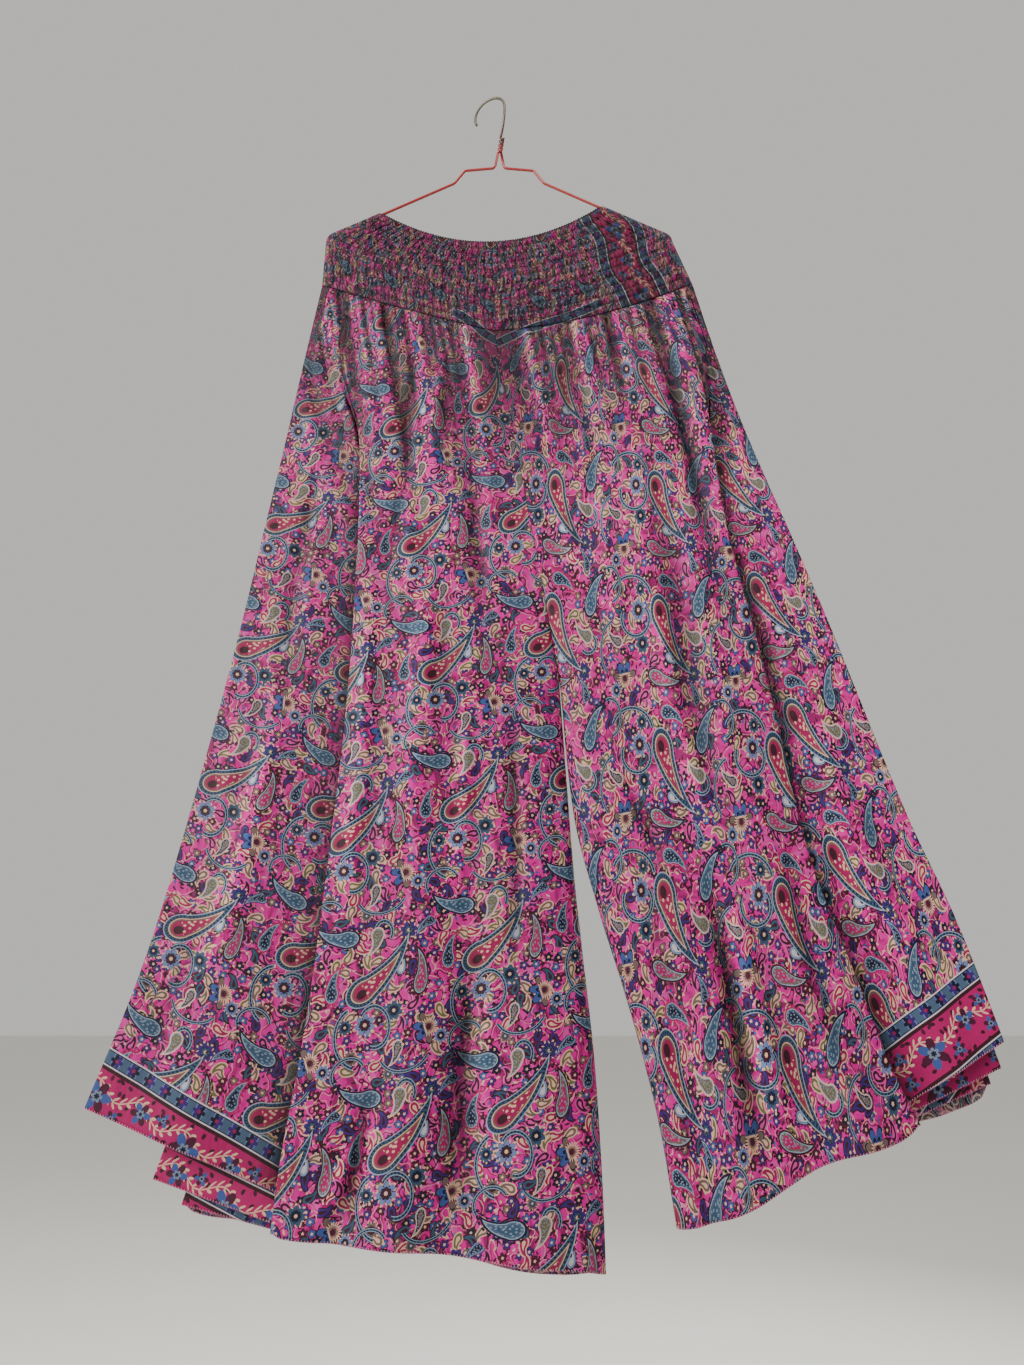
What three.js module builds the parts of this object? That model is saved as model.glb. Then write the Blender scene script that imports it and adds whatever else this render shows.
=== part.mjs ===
// Wide-leg silk trousers, hung by their shirred waistband over the arms of a wire hanger.
// Millimetres. Seen from the front, X runs to the right, Y to the back and Z up.
// The origin is the inside top of the hook, where it sits on a rail.
// Right and left are the wearer's, so the right leg is at negative X.

import * as THREE from "three";

// Driving sizes
const CLOTH = 1.5; // wall of the cloth
const SEAM_GAP = 0.3; // between two pieces that are sewn together
const WIRE = { radius: 1.6, sides: 8 };

// The hanger is one wire: hook, twisted neck, notched shoulders, sloping arms and a straight bar.
const HANGER = {
  centreX: 12,
  hookRadius: 20.6, // of the wire's middle line
  hookTurn: 30, // degrees that the hook is turned out of the hanger's plane, its tip to the back
  hookTip: 205, // degrees round the hook from the stem to the tip
  neckTop: -55,
  neckBottom: -77,
  neckLean: 3, // the neck's top lies this far to the right of its foot
  strand: 1.8, // from the middle of the neck to the middle of each strand
  twists: 2,
};
// Each row is a corner of the wire on one side: how far out from the middle, how high, and how round.
const SHOULDER = [
  { name: "foot of the neck", out: 5.5, z: -99, round: 5 },
  { name: "notch top", out: 40.5, z: -102.7, round: 4 },
  { name: "notch foot", out: 52.7, z: -120.6, round: 10 },
  { name: "arm end", out: 228.7, z: -213, round: 10 },
];

// The waistband is a shirred strip that dips between the arms and lies over their outer halves.
const BAND = {
  topX: 3.5,
  topZ: -210.6, // lowest point of the free edge, at the centre
  seamX: 7,
  seamZ: -328, // the seam to the legs, at the centre
  armStart: { right: 140, left: 121 }, // how far out on the arms it starts
  sag: 13, // how far the free edge hangs below a straight line
  seamSag: { right: 3, left: 12 },
  ribs: 40, // gathers in the front, and as many in the back
  rib: 1.7, // how far a gather stands out
  ridgeGap: 0.3, // between the cloth and the arm that it lies on
  endGap: 0.7, // the same round the arm's end
};
// Half the depth of the trousers at the seam of the waistband: at the side edge and at the centre.
const HALF_DEPTH = { side: 4, centre: 9 };

// The centre seam runs from the waistband to the crotch, which is this share of the way down a leg.
const CROTCH = { x: 75, z: -731, share: 0.42 };
const LEG = {
  forward: 20, // how far the front swings out on its way to the hem
  backward: 6,
  innerTurn: 0.12, // share of the width over which the inner edge rounds to the back
  innerGap: 1.2, // from the middle of the gap between the legs, just under the crotch
  fold: { step: 5, closed: 10 }, // layer spacing of the front fold, and its width where it is shut
  pleat: { step: 4, closed: 10, opens: 0.3, open: 0.72 }, // of the side pleats
  hiddenHemLift: 6, // how far a hem inside a pleat lies above the one in front of it
};
// Each leg's edges in the plane of the hanger. The side and the inseam are rows from the top down.
// The fold is the long edge on the front, in rows of the share of the leg's length and of its width;
// lap is how far its cloth lies over the outer panel. A hem is in rows from the inseam to the side.
const LEGS = {
  right: {
    side: [
      { z: -264, x: -191 },
      { z: -374, x: -208 },
      { z: -484, x: -224 },
      { z: -703, x: -256 },
      { z: -921, x: -296 },
      { z: -1032, x: -322 },
      { z: -1141, x: -358 },
    ],
    inseam: [
      { z: -731, x: 75 },
      { z: -926, x: 87 },
      { z: -1002, x: 94 },
      { z: -1101, x: 103.5 },
      { z: -1204, x: 108.5 },
      { z: -1278, x: 110 },
    ],
    fold: [
      { t: 0, share: 0.82 },
      { t: 0.09, share: 0.8 },
      { t: 0.2, share: 0.69 },
      { t: 0.43, share: 0.655 },
      { t: 0.58, share: 0.64 },
      { t: 0.92, share: 0.637 },
      { t: 1, share: 0.624 },
    ],
    lap: 52,
    hemFront: [
      { share: 0, z: -1278 },
      { share: 0.05, z: -1273 },
      { share: 0.15, z: -1269 },
      { share: 0.33, z: -1257 },
      { share: 0.57, z: -1247 },
      { share: 0.624, z: -1241 },
      { share: 1, z: -1141 },
    ],
    hemOuter: { foldZ: -1209, sideZ: -1141 },
    hemBack: [
      { share: 0, z: -1278 },
      { share: 0.07, z: -1284 },
      { share: 0.18, z: -1281 },
      { share: 0.33, z: -1262 },
      { share: 0.57, z: -1250 },
      { share: 0.69, z: -1238 },
      { share: 0.81, z: -1223 },
      { share: 1, z: -1141 },
    ],
  },
  left: {
    side: [
      { z: -262, x: 234 },
      { z: -364, x: 259 },
      { z: -466, x: 288 },
      { z: -669, x: 351 },
      { z: -873, x: 410 },
      { z: -975, x: 446 },
      { z: -1084, x: 477 },
    ],
    inseam: [
      { z: -731, x: 75 },
      { z: -876, x: 88 },
      { z: -969, x: 111 },
      { z: -1034, x: 130.5 },
      { z: -1105, x: 149.5 },
      { z: -1170, x: 163 },
      { z: -1242, x: 173 },
    ],
    fold: [
      { t: 0, share: 0.89 },
      { t: 0.125, share: 0.89 },
      { t: 0.33, share: 0.77 },
      { t: 0.45, share: 0.74 },
      { t: 0.58, share: 0.715 },
      { t: 0.72, share: 0.67 },
      { t: 0.92, share: 0.675 },
      { t: 1, share: 0.71 },
    ],
    lap: 44,
    hemFront: [
      { share: 0, z: -1242 },
      { share: 0.05, z: -1239 },
      { share: 0.18, z: -1227 },
      { share: 0.435, z: -1186 },
      { share: 0.64, z: -1168 },
      { share: 0.71, z: -1154 },
      { share: 1, z: -1084 },
    ],
    hemOuter: { foldZ: -1133, sideZ: -1084 },
    hemBack: [
      { share: 0, z: -1242 },
      { share: 0.18, z: -1224 },
      { share: 0.435, z: -1188 },
      { share: 0.7, z: -1162 },
      { share: 0.85, z: -1147 },
      { share: 0.975, z: -1122 },
      { share: 1, z: -1084 },
    ],
  },
};
// The cloth at the outer hem is laid in pleats behind the outer panel. Each row is one pleat: how
// far in from the side its hidden turn and its outer edge lie at the hem, and how low they hang.
const PLEATS = {
  right: [
    { tuck: 188, tuckZ: -1240, edge: 65, edgeZ: -1201 },
    { tuck: 198, tuckZ: -1248, edge: 90, edgeZ: -1223 },
  ],
  left: [
    { tuck: 98, tuckZ: -1148, edge: 2, edgeZ: -1108 },
    { tuck: 106, tuckZ: -1158, edge: 10, edgeZ: -1122 },
  ],
};
// Long soft folds. Each row is one ridge, or a trough if its height is negative: its share of the
// way from the inner edge to the side, half its width as a share, its height at the hem, and the
// share of the leg's length at which it starts.
const WAVES = {
  right: {
    front: [
      { at: 0.15, width: 0.05, height: 5, start: 0.3 },
      { at: 0.29, width: 0.05, height: -6, start: 0.35 },
      { at: 0.4, width: 0.05, height: 7, start: 0.45 },
      { at: 0.51, width: 0.04, height: -7, start: 0.78 },
      { at: 0.82, width: 0.07, height: 6, start: 0.2 },
    ],
    back: [
      { at: 0.2, width: 0.07, height: 4, start: 0.2 },
      { at: 0.42, width: 0.07, height: -5, start: 0.3 },
      { at: 0.62, width: 0.07, height: 4, start: 0.3 },
    ],
  },
  left: {
    front: [
      { at: 0.1, width: 0.035, height: -7, start: 0.4 },
      { at: 0.22, width: 0.06, height: 5, start: 0.3 },
      { at: 0.4, width: 0.06, height: -5, start: 0.5 },
      { at: 0.55, width: 0.06, height: 6, start: 0.25 },
      { at: 0.84, width: 0.06, height: 5, start: 0.25 },
    ],
    back: [
      { at: 0.25, width: 0.08, height: 4, start: 0.2 },
      { at: 0.5, width: 0.08, height: -5, start: 0.3 },
      { at: 0.75, width: 0.07, height: 4, start: 0.3 },
    ],
  },
};
// How finely the cloth is divided.
const GRID = { aboveCrotch: 7, belowCrotch: 8, innerTurn: 3, centre: 8, outer: 4, fold: 2, back: 9 };

const lerp = (a, b, f) => a + (b - a) * f;
const clamp = (f) => Math.min(1, Math.max(0, f));
const ease = (f) => clamp(f) ** 2 * (3 - 2 * clamp(f));
const ramp = (t, from, to) => ease((t - from) / (to - from));
const hump = (f) => 4 * f * (1 - f);
const radians = THREE.MathUtils.degToRad;
// The numbers from a to b in n equal steps, both ends included.
const steps = (a, b, n) => Array.from({ length: n + 1 }, (_, i) => lerp(a, b, i / n));
// The whole numbers from a to b, both included, up or down.
const range = (a, b) => Array.from({ length: Math.abs(b - a) + 1 }, (_, i) => a + Math.sign(b - a) * i);

// A smooth curve through rows: the value of one column where another has the value x.
function follow(rows, from, to) {
  const slope = (i) => {
    const before = rows[Math.max(i - 1, 0)];
    const after = rows[Math.min(i + 1, rows.length - 1)];
    return (after[to] - before[to]) / (after[from] - before[from]);
  };
  const order = Math.sign(rows.at(-1)[from] - rows[0][from]);
  return (x) => {
    const passed = rows.filter((row) => (x - row[from]) * order >= 0).length;
    const i = Math.min(Math.max(passed - 1, 0), rows.length - 2);
    const span = rows[i + 1][from] - rows[i][from];
    const f = clamp((x - rows[i][from]) / span);
    const bend = slope(i) * span * f * (1 - f) ** 2 - slope(i + 1) * span * f ** 2 * (1 - f);
    return lerp(rows[i][to], rows[i + 1][to], ease(f)) + bend;
  };
}

// The hanger

// A wire's path with its own choice of points, so that straight runs take few.
class WirePath extends THREE.Curve {
  constructor(points) {
    super();
    this.points = points;
  }
  getPoint(share) {
    const place = share * (this.points.length - 1);
    const i = Math.min(Math.floor(place), this.points.length - 2);
    return this.points[i].clone().lerp(this.points[i + 1], place - i);
  }
  getPointAt(share) {
    return this.getPoint(share);
  }
  getTangentAt(share) {
    const reach = 0.5 / (this.points.length - 1);
    return this.getPoint(clamp(share + reach)).sub(this.getPoint(clamp(share - reach))).normalize();
  }
}

// The centre of the arc that rounds a corner, and the two points where the arc starts and ends.
function cornerArc(before, corner, after, round) {
  const back = before.clone().sub(corner).normalize();
  const on = after.clone().sub(corner).normalize();
  const half = back.angleTo(on) / 2;
  const reach = round / Math.tan(half);
  return {
    start: corner.clone().addScaledVector(back, reach),
    end: corner.clone().addScaledVector(on, reach),
    centre: back.clone().add(on).normalize().multiplyScalar(round / Math.sin(half)).add(corner),
  };
}

// Points on the shorter arc from one point to another about a centre, every 25 degrees or less.
function arcPoints({ start, end, centre }) {
  const from = start.clone().sub(centre);
  const to = end.clone().sub(centre);
  const angle = from.angleTo(to);
  const axis = from.clone().cross(to).normalize();
  const count = Math.max(1, Math.ceil(angle / radians(25)));
  return steps(0, angle, count).map((a) => from.clone().applyAxisAngle(axis, a).add(centre));
}

// One side of the hanger from the foot of the neck to the bar, as a line with round corners.
function shoulderPoints(side) {
  const at = (row) => new THREE.Vector3(HANGER.centreX + side * row.out, 0, row.z);
  const neckFoot = at({ out: HANGER.strand, z: HANGER.neckBottom });
  const barMiddle = at({ out: 0, z: SHOULDER.at(-1).z });
  const line = [neckFoot, ...SHOULDER.map(at), barMiddle];
  return SHOULDER.flatMap((row, i) => arcPoints(cornerArc(line[i], line[i + 1], line[i + 2], row.round)));
}

// One strand of the twisted neck, from its top down.
function strandPoints(startAngle) {
  const turnSteps = 9;
  return steps(0, 1, HANGER.twists * turnSteps).map((share) => {
    const angle = startAngle + share * HANGER.twists * 2 * Math.PI;
    return new THREE.Vector3(
      HANGER.centreX + HANGER.neckLean * (1 - share) + HANGER.strand * Math.cos(angle),
      HANGER.strand * Math.sin(angle),
      lerp(HANGER.neckTop, HANGER.neckBottom, share),
    );
  });
}

// The hook from its tip to the stem, then the stem down to the neck.
function hookPoints(neckStart) {
  const centreZ = WIRE.radius - HANGER.hookRadius;
  const turn = radians(HANGER.hookTurn);
  const arc = steps(HANGER.hookTip, 0, 12).map((degrees) => {
    const out = HANGER.hookRadius * Math.cos(radians(degrees));
    const z = centreZ + HANGER.hookRadius * Math.sin(radians(degrees));
    return new THREE.Vector3(out * Math.cos(turn), -out * Math.sin(turn), z);
  });
  const stemTop = arc.at(-1);
  const bend = new THREE.QuadraticBezierCurve3(
    stemTop,
    new THREE.Vector3(stemTop.x, stemTop.y, lerp(stemTop.z, neckStart.z, 0.6)),
    neckStart,
  );
  return [...arc, ...bend.getPoints(4).slice(1, -1)];
}

function hangerGeometry() {
  const leftStrand = strandPoints(Math.PI);
  const rightStrand = strandPoints(0);
  const path = [
    ...hookPoints(leftStrand[0]),
    ...leftStrand,
    ...shoulderPoints(-1),
    ...shoulderPoints(1).reverse(),
    ...rightStrand.reverse(),
  ];
  const ring = steps(0, 2 * Math.PI, WIRE.sides).slice(0, -1);
  const section = new THREE.Shape(
    ring.map((a) => new THREE.Vector2(WIRE.radius * Math.cos(a), WIRE.radius * Math.sin(a))),
  );
  return new THREE.ExtrudeGeometry(section, {
    steps: path.length - 1,
    bevelEnabled: false,
    extrudePath: new WirePath(path),
  });
}

// Cloth

// The direction that a grid of points faces at one of them, from its neighbours.
function gridNormal(grid, i, j) {
  const rowBefore = grid[Math.max(i - 1, 0)][j];
  const rowAfter = grid[Math.min(i + 1, grid.length - 1)][j];
  const before = grid[i][Math.max(j - 1, 0)];
  const after = grid[i][Math.min(j + 1, grid[i].length - 1)];
  const across = after.clone().sub(before).normalize();
  const down = rowAfter.clone().sub(rowBefore).normalize();
  return across.cross(down).normalize();
}

// A closed wall of cloth on a grid of points: half the cloth's thickness to each side of it.
// face is 1 or -1, so that the outside faces out. seam(normal, i, j) turns the normal on an edge
// along the seam, so that the gap to the next piece stays even. raise(i, j) lifts an outer point.
function clothWall(grid, { face, seam = () => {}, raise = () => 0 }) {
  const rowCount = grid.length;
  const columnCount = grid[0].length;
  const outer = [];
  const inner = [];
  grid.forEach((row, i) =>
    row.forEach((point, j) => {
      const normal = gridNormal(grid, i, j).multiplyScalar(face);
      seam(normal, i, j);
      normal.normalize();
      outer.push(point.clone().addScaledVector(normal, CLOTH / 2 + raise(i, j)));
      inner.push(point.clone().addScaledVector(normal, -CLOTH / 2));
    }),
  );
  const at = (i, j) => i * columnCount + j;
  const under = (i, j) => outer.length + at(i, j);
  const triangles = [];
  const quad = (a, b, c, d) => triangles.push(a, b, c, a, c, d);
  for (let i = 0; i + 1 < rowCount; i++)
    for (let j = 0; j + 1 < columnCount; j++) {
      quad(at(i, j), at(i, j + 1), at(i + 1, j + 1), at(i + 1, j));
      quad(under(i, j), under(i + 1, j), under(i + 1, j + 1), under(i, j + 1));
    }
  const rim = [
    ...range(0, columnCount - 1).map((j) => [0, j]),
    ...range(1, rowCount - 1).map((i) => [i, columnCount - 1]),
    ...range(columnCount - 2, 0).map((j) => [rowCount - 1, j]),
    ...range(rowCount - 2, 1).map((i) => [i, 0]),
  ];
  rim.forEach((here, k) => {
    const next = rim[(k + 1) % rim.length];
    quad(at(...here), under(...here), under(...next), at(...next));
  });
  if (face < 0) triangles.reverse();
  const geometry = new THREE.BufferGeometry();
  geometry.setFromPoints([...outer, ...inner]);
  geometry.setIndex(triangles);
  geometry.computeVertexNormals();
  return geometry;
}

// Half the depth at the seam of the waistband, at a share of the way from the centre to the side.
const halfDepth = (share) => lerp(HALF_DEPTH.centre, HALF_DEPTH.side, share ** 2);

// The waistband

// The line that the waistband's side follows: over the arm, round its end and down to the seam.
// Each point is a row of the waistband.
function bandSide(legName) {
  const sign = legName === "left" ? 1 : -1;
  const at = (out, z) => new THREE.Vector3(HANGER.centreX + sign * out, 0, z);
  const [foot, end] = SHOULDER.slice(-2).map((row) => at(row.out, row.z));
  const arc = cornerArc(foot, end, at(0, end.z), SHOULDER.at(-1).round);
  const up = arc.start.clone().sub(arc.centre).normalize();
  const clear = WIRE.radius + BAND.ridgeGap + CLOTH / 2;
  const startShare = (BAND.armStart[legName] - SHOULDER[2].out) / (SHOULDER[3].out - SHOULDER[2].out);
  const start = foot.clone().lerp(end, startShare).addScaledVector(up, clear);
  const half = start.clone().lerp(arc.start.clone().addScaledVector(up, clear), 0.5);
  const reach = SHOULDER.at(-1).round + WIRE.radius + BAND.endGap + CLOTH / 2;
  const rise = Math.atan2(up.z, Math.abs(up.x));
  const round = steps(rise, 0, 3).map((angle) =>
    arc.centre.clone().add(at(0, 0).setX(sign * reach * Math.cos(angle)).setZ(reach * Math.sin(angle))),
  );
  const { x, z } = LEGS[legName].side[0];
  const seam = new THREE.Vector3(x, 0, z);
  return [start, half, ...round, round.at(-1).clone().lerp(seam, 0.5), seam];
}

const BAND_SIDES = { right: bandSide("right"), left: bandSide("left") };
const BAND_ROWS = BAND_SIDES.right.length;
// How far down the waistband each row lies at the centre, as a share, from the rows on the side.
const BAND_SHARES = BAND_SIDES.right.reduce(
  (shares, point, i, rows) =>
    i ? [...shares, shares.at(-1) + point.distanceTo(rows[i - 1]) / lineLength(rows)] : [0],
  [],
);

function lineLength(points) {
  return points.slice(1).reduce((sum, point, i) => sum + point.distanceTo(points[i]), 0);
}

// A point of the waistband without its depth. across runs from -1 at the right side to 1 at the left.
function bandPlane(across, i) {
  const legName = across < 0 ? "right" : "left";
  const share = Math.abs(across);
  const down = BAND_SHARES[i];
  const centre = new THREE.Vector3(
    lerp(BAND.topX, BAND.seamX, down),
    0,
    lerp(BAND.topZ, BAND.seamZ, down),
  );
  const point = centre.lerp(BAND_SIDES[legName][i], share);
  point.z -= lerp(BAND.sag, BAND.seamSag[legName], down) * hump(share);
  return point;
}

// One face of the waistband, in rows from the free edge down, in columns from right to left.
function bandGrid(front) {
  const turns = steps(0, 90, 3).map(radians);
  return range(0, BAND_ROWS - 1).map((i) => {
    const edge = lerp(
      WIRE.radius + BAND.ridgeGap + CLOTH / 2,
      HALF_DEPTH.side,
      ramp(BAND_SHARES[i], BAND_SHARES[BAND_ROWS - 3], 1),
    );
    const width = (sign) => bandPlane(sign, i).distanceTo(bandPlane(0, i));
    const turn = (sign, angle) => {
      const point = bandPlane(sign * (1 - (edge * (1 - Math.cos(angle))) / width(sign)), i);
      point.y = Math.max(edge * Math.sin(angle), SEAM_GAP / 2);
      return point;
    };
    const flatShare = (sign) => 1 - edge / width(sign);
    const middle = steps(-flatShare(-1), flatShare(1), 2 * BAND.ribs).slice(1, -1).map((across) => {
      const point = bandPlane(across, i);
      point.y = lerp(HALF_DEPTH.centre, edge, across ** 2);
      return point;
    });
    const row = [
      ...turns.map((angle) => turn(-1, angle)),
      ...middle,
      ...turns.map((angle) => turn(1, angle)).reverse(),
    ];
    if (i === BAND_ROWS - 1) row.forEach((point) => (point.z += SEAM_GAP / 2));
    if (front) row.forEach((point) => (point.y *= -1));
    return row;
  });
}

function bandGeometry(front) {
  const grid = bandGrid(front);
  const last = grid[0].length - 1;
  const turned = 3; // columns that round each side
  const raise = (i, j) => {
    const gathered = j > turned && j < last - turned && (j - turned) % 2 === 1;
    const atEdge = i === 0 || i === BAND_ROWS - 1;
    return gathered ? BAND.rib * (atEdge ? 0.5 : 1) : 0;
  };
  const seam = (normal, i, j) => {
    if (j === 0 || j === last) normal.y = 0;
    if (i === BAND_ROWS - 1) normal.z = 0;
  };
  return clothWall(grid, { face: front ? -1 : 1, seam, raise });
}

// The legs

// A leg's inner edge without its depth: the centre seam down to the crotch, then the inseam.
function innerPlane(leg, t) {
  if (t <= CROTCH.share) {
    const f = t / CROTCH.share;
    return { x: lerp(BAND.seamX, CROTCH.x, f), z: lerp(BAND.seamZ, CROTCH.z, f) };
  }
  const z = lerp(CROTCH.z, leg.inseam.at(-1).z, (t - CROTCH.share) / (1 - CROTCH.share));
  return { x: follow(leg.inseam, "z", "x")(z), z };
}

function sidePlane(leg, t) {
  const z = lerp(leg.side[0].z, leg.side.at(-1).z, t);
  return { x: follow(leg.side, "z", "x")(z), z };
}

// The leg's surfaces as functions of share, from 0 at the inner edge to 1 at the side, and of t,
// from 0 at the waistband to 1 at the hem.
function makeLeg(legName) {
  const leg = LEGS[legName];
  const sign = legName === "left" ? 1 : -1;
  const { fold, pleat } = LEG;
  const width = (t) => Math.abs(sidePlane(leg, t).x - innerPlane(leg, t).x);
  const wave = (rows, share, t) =>
    rows.reduce((sum, row) => {
      const near = Math.exp(-(((share - row.at) / row.width) ** 2));
      return sum + row.height * near * ramp(t, row.start, 1);
    }, 0);

  // Height of the hem of the centre front, of the outer panel and of the back.
  const hemFront = follow(leg.hemFront, "share", "z");
  const hemBack = follow(leg.hemBack, "share", "z");
  const hemFoldShare = leg.fold.at(-1).share;
  const hemOuter = (share) =>
    lerp(leg.hemOuter.sideZ, leg.hemOuter.foldZ, (1 - share) / (1 - hemFoldShare));
  const straightHem = (share) => lerp(leg.inseam.at(-1).z, leg.side.at(-1).z, share);

  // A point without its depth, on a layer whose hem there is at height hemZ.
  const plane = (share, t, hemZ) => {
    const inner = innerPlane(leg, t);
    const side = sidePlane(leg, t);
    const sag = BAND.seamSag[legName] * (1 - t) * hump(share);
    const z = lerp(inner.z, side.z, share) - sag + (hemZ - straightHem(share)) * t ** 2;
    return new THREE.Vector3(lerp(inner.x, side.x, share), 0, z);
  };

  const foldShare = follow(leg.fold, "t", "share");
  const foldOpen = (t) => ramp(t, 0.02, 0.15);
  const foldLap = (t) => lerp(-fold.closed, leg.lap, ramp(t, 0.07, 0.55));
  const pleatOpen = (t) => ramp(t, pleat.opens, pleat.open);
  const pleatStepOpen = (t) => ramp(t, pleat.opens - 0.1, pleat.opens + 0.08);

  // Depth of each layer. Layer 0 is the centre front, 1 the hidden layer of the fold, 2 the outer panel.
  const smoothFrontY = (share, t) => -halfDepth(share) - LEG.forward * ease(t);
  const frontY = (share, t, layer = 0) => {
    const lying = layer ? 2 - layer : 2 * ramp(share, 0.1, foldShare(t) - 0.15);
    const folds = wave(WAVES[legName].front, share, t);
    return smoothFrontY(share, t) - folds - lying * fold.step * foldOpen(t);
  };
  const backY = (share, t) =>
    halfDepth(share) + LEG.backward * ease(t) + wave(WAVES[legName].back, share, t);
  // Depth of the pleat layers behind the outer panel, which run into the back where they are shut.
  const pleatY = (share, t, layer) =>
    lerp(backY(share, t), smoothFrontY(share, t) + layer * pleat.step, pleatStepOpen(t));
  const middleY = (t) => (frontY(0, t) + backY(0, t)) / 2;

  return {
    sign, width, hemFront, hemOuter, hemBack, plane, foldShare, foldOpen, foldLap,
    pleatOpen, pleatStepOpen, frontY, backY, pleatY, middleY,
  };
}

// The rounding at the inner edge. Above the crotch it is flat, and the centre seam goes back to
// the crotch just above it.
function innerColumns(form, y, hem, back) {
  return steps(0, 90, GRID.innerTurn).map((degrees) => {
    const angle = radians(degrees);
    const share = LEG.innerTurn * (1 - Math.cos(angle));
    return (t) => {
      const point = form.plane(share, t, hem(share));
      const outside = y(share, t);
      const middle = form.middleY(t);
      const rounded = lerp(middle, outside, Math.sin(angle));
      point.y = lerp(outside, rounded, ramp(t, CROTCH.share - 0.14, CROTCH.share));
      if (degrees === 0) {
        const belowCrotch = t > CROTCH.share + 1e-6;
        const atCrotch = !belowCrotch && t > CROTCH.share - 1e-6;
        const apart = atCrotch ? CLOTH / 2 + SEAM_GAP / 2 : SEAM_GAP / 2;
        if (belowCrotch || atCrotch) point.y = middle + (back ? apart : -apart);
        point.x += form.sign * (belowCrotch ? LEG.innerGap : SEAM_GAP / 2);
      }
      return point;
    };
  });
}

// A turn of the cloth from one layer to the next. edge(t) gives its place as a share, and out is 1
// where the turn points to the side and -1 where it points to the inner edge. order is 1 where the
// columns run to the side and -1 where they run to the inner edge. lap(t) is how far the cloth
// doubles back there: below 0 it doesn't yet, and the turn is a step in the cloth.
function turnColumns(form, { edge, out, order, lap, closed, before, after, hem }) {
  return steps(-90, 90, GRID.fold).map((degrees) => {
    const angle = radians(degrees);
    const part = (1 + Math.sin(angle)) / 2;
    return (t) => {
      const share = edge(t);
      const radius = Math.abs(after(share, t) - before(share, t)) / 2;
      const rounding = -out * radius * (1 - Math.cos(angle)) * ramp(lap(t), 0, 12);
      const spreading = ((order * Math.sin(angle) * closed) / 4) * (1 - ramp(lap(t), -closed, 0));
      const there = share + (rounding + spreading) / form.width(t);
      const point = form.plane(there, t, hem(share));
      point.y = lerp(before(there, t), after(there, t), part);
      return point;
    };
  });
}

// Half of the turn at the side: the front's half or the back's.
function sideColumns(form, back) {
  const degrees = back ? steps(0, 90, GRID.fold) : steps(-90, 0, GRID.fold);
  return degrees.map((d) => (t) => {
    const angle = radians(d);
    const front = form.frontY(1, t, 2);
    const behind = form.pleatY(1, t, 1);
    const radius = (behind - front) / 2;
    const share = 1 - (radius * (1 - Math.cos(angle))) / form.width(t);
    const point = form.plane(share, t, form.hemOuter(share));
    point.y = (front + behind) / 2 + radius * Math.sin(angle);
    if (d === 0) point.y += (back ? 1 : -1) * (SEAM_GAP / 2);
    return point;
  });
}

function frontColumns(form) {
  const layer = (n) => (share, t) => form.frontY(share, t, n);
  const foldTuck = (t) => form.foldShare(t) - form.foldLap(t) / form.width(t);
  const centre = steps(0, 1, GRID.centre + 1).slice(1, -1).map((f) => (t) => {
    const end = form.foldShare(t) - LEG.fold.closed / 2 / form.width(t);
    const share = lerp(LEG.innerTurn, end, f);
    const point = form.plane(share, t, form.hemFront(share));
    point.y = form.frontY(share, t);
    return point;
  });
  const outer = steps(0, 1, GRID.outer + 1).slice(1, -1).map((f) => (t) => {
    const start = foldTuck(t) + LEG.fold.closed / 2 / form.width(t);
    const share = lerp(start, 1 - 8 / form.width(t), f);
    const point = form.plane(share, t, form.hemOuter(share));
    point.y = form.frontY(share, t, 2);
    return point;
  });
  const shared = { order: 1, lap: form.foldLap, closed: LEG.fold.closed };
  return [
    ...innerColumns(form, layer(0), form.hemFront, false),
    ...centre,
    ...turnColumns(form, {
      ...shared, edge: form.foldShare, out: 1, before: layer(0), after: layer(1),
      hem: form.hemFront,
    }),
    ...turnColumns(form, {
      ...shared, edge: foldTuck, out: -1, before: layer(1), after: layer(2),
      hem: form.hemOuter,
    }),
    ...outer,
    ...sideColumns(form, false),
  ];
}

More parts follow.
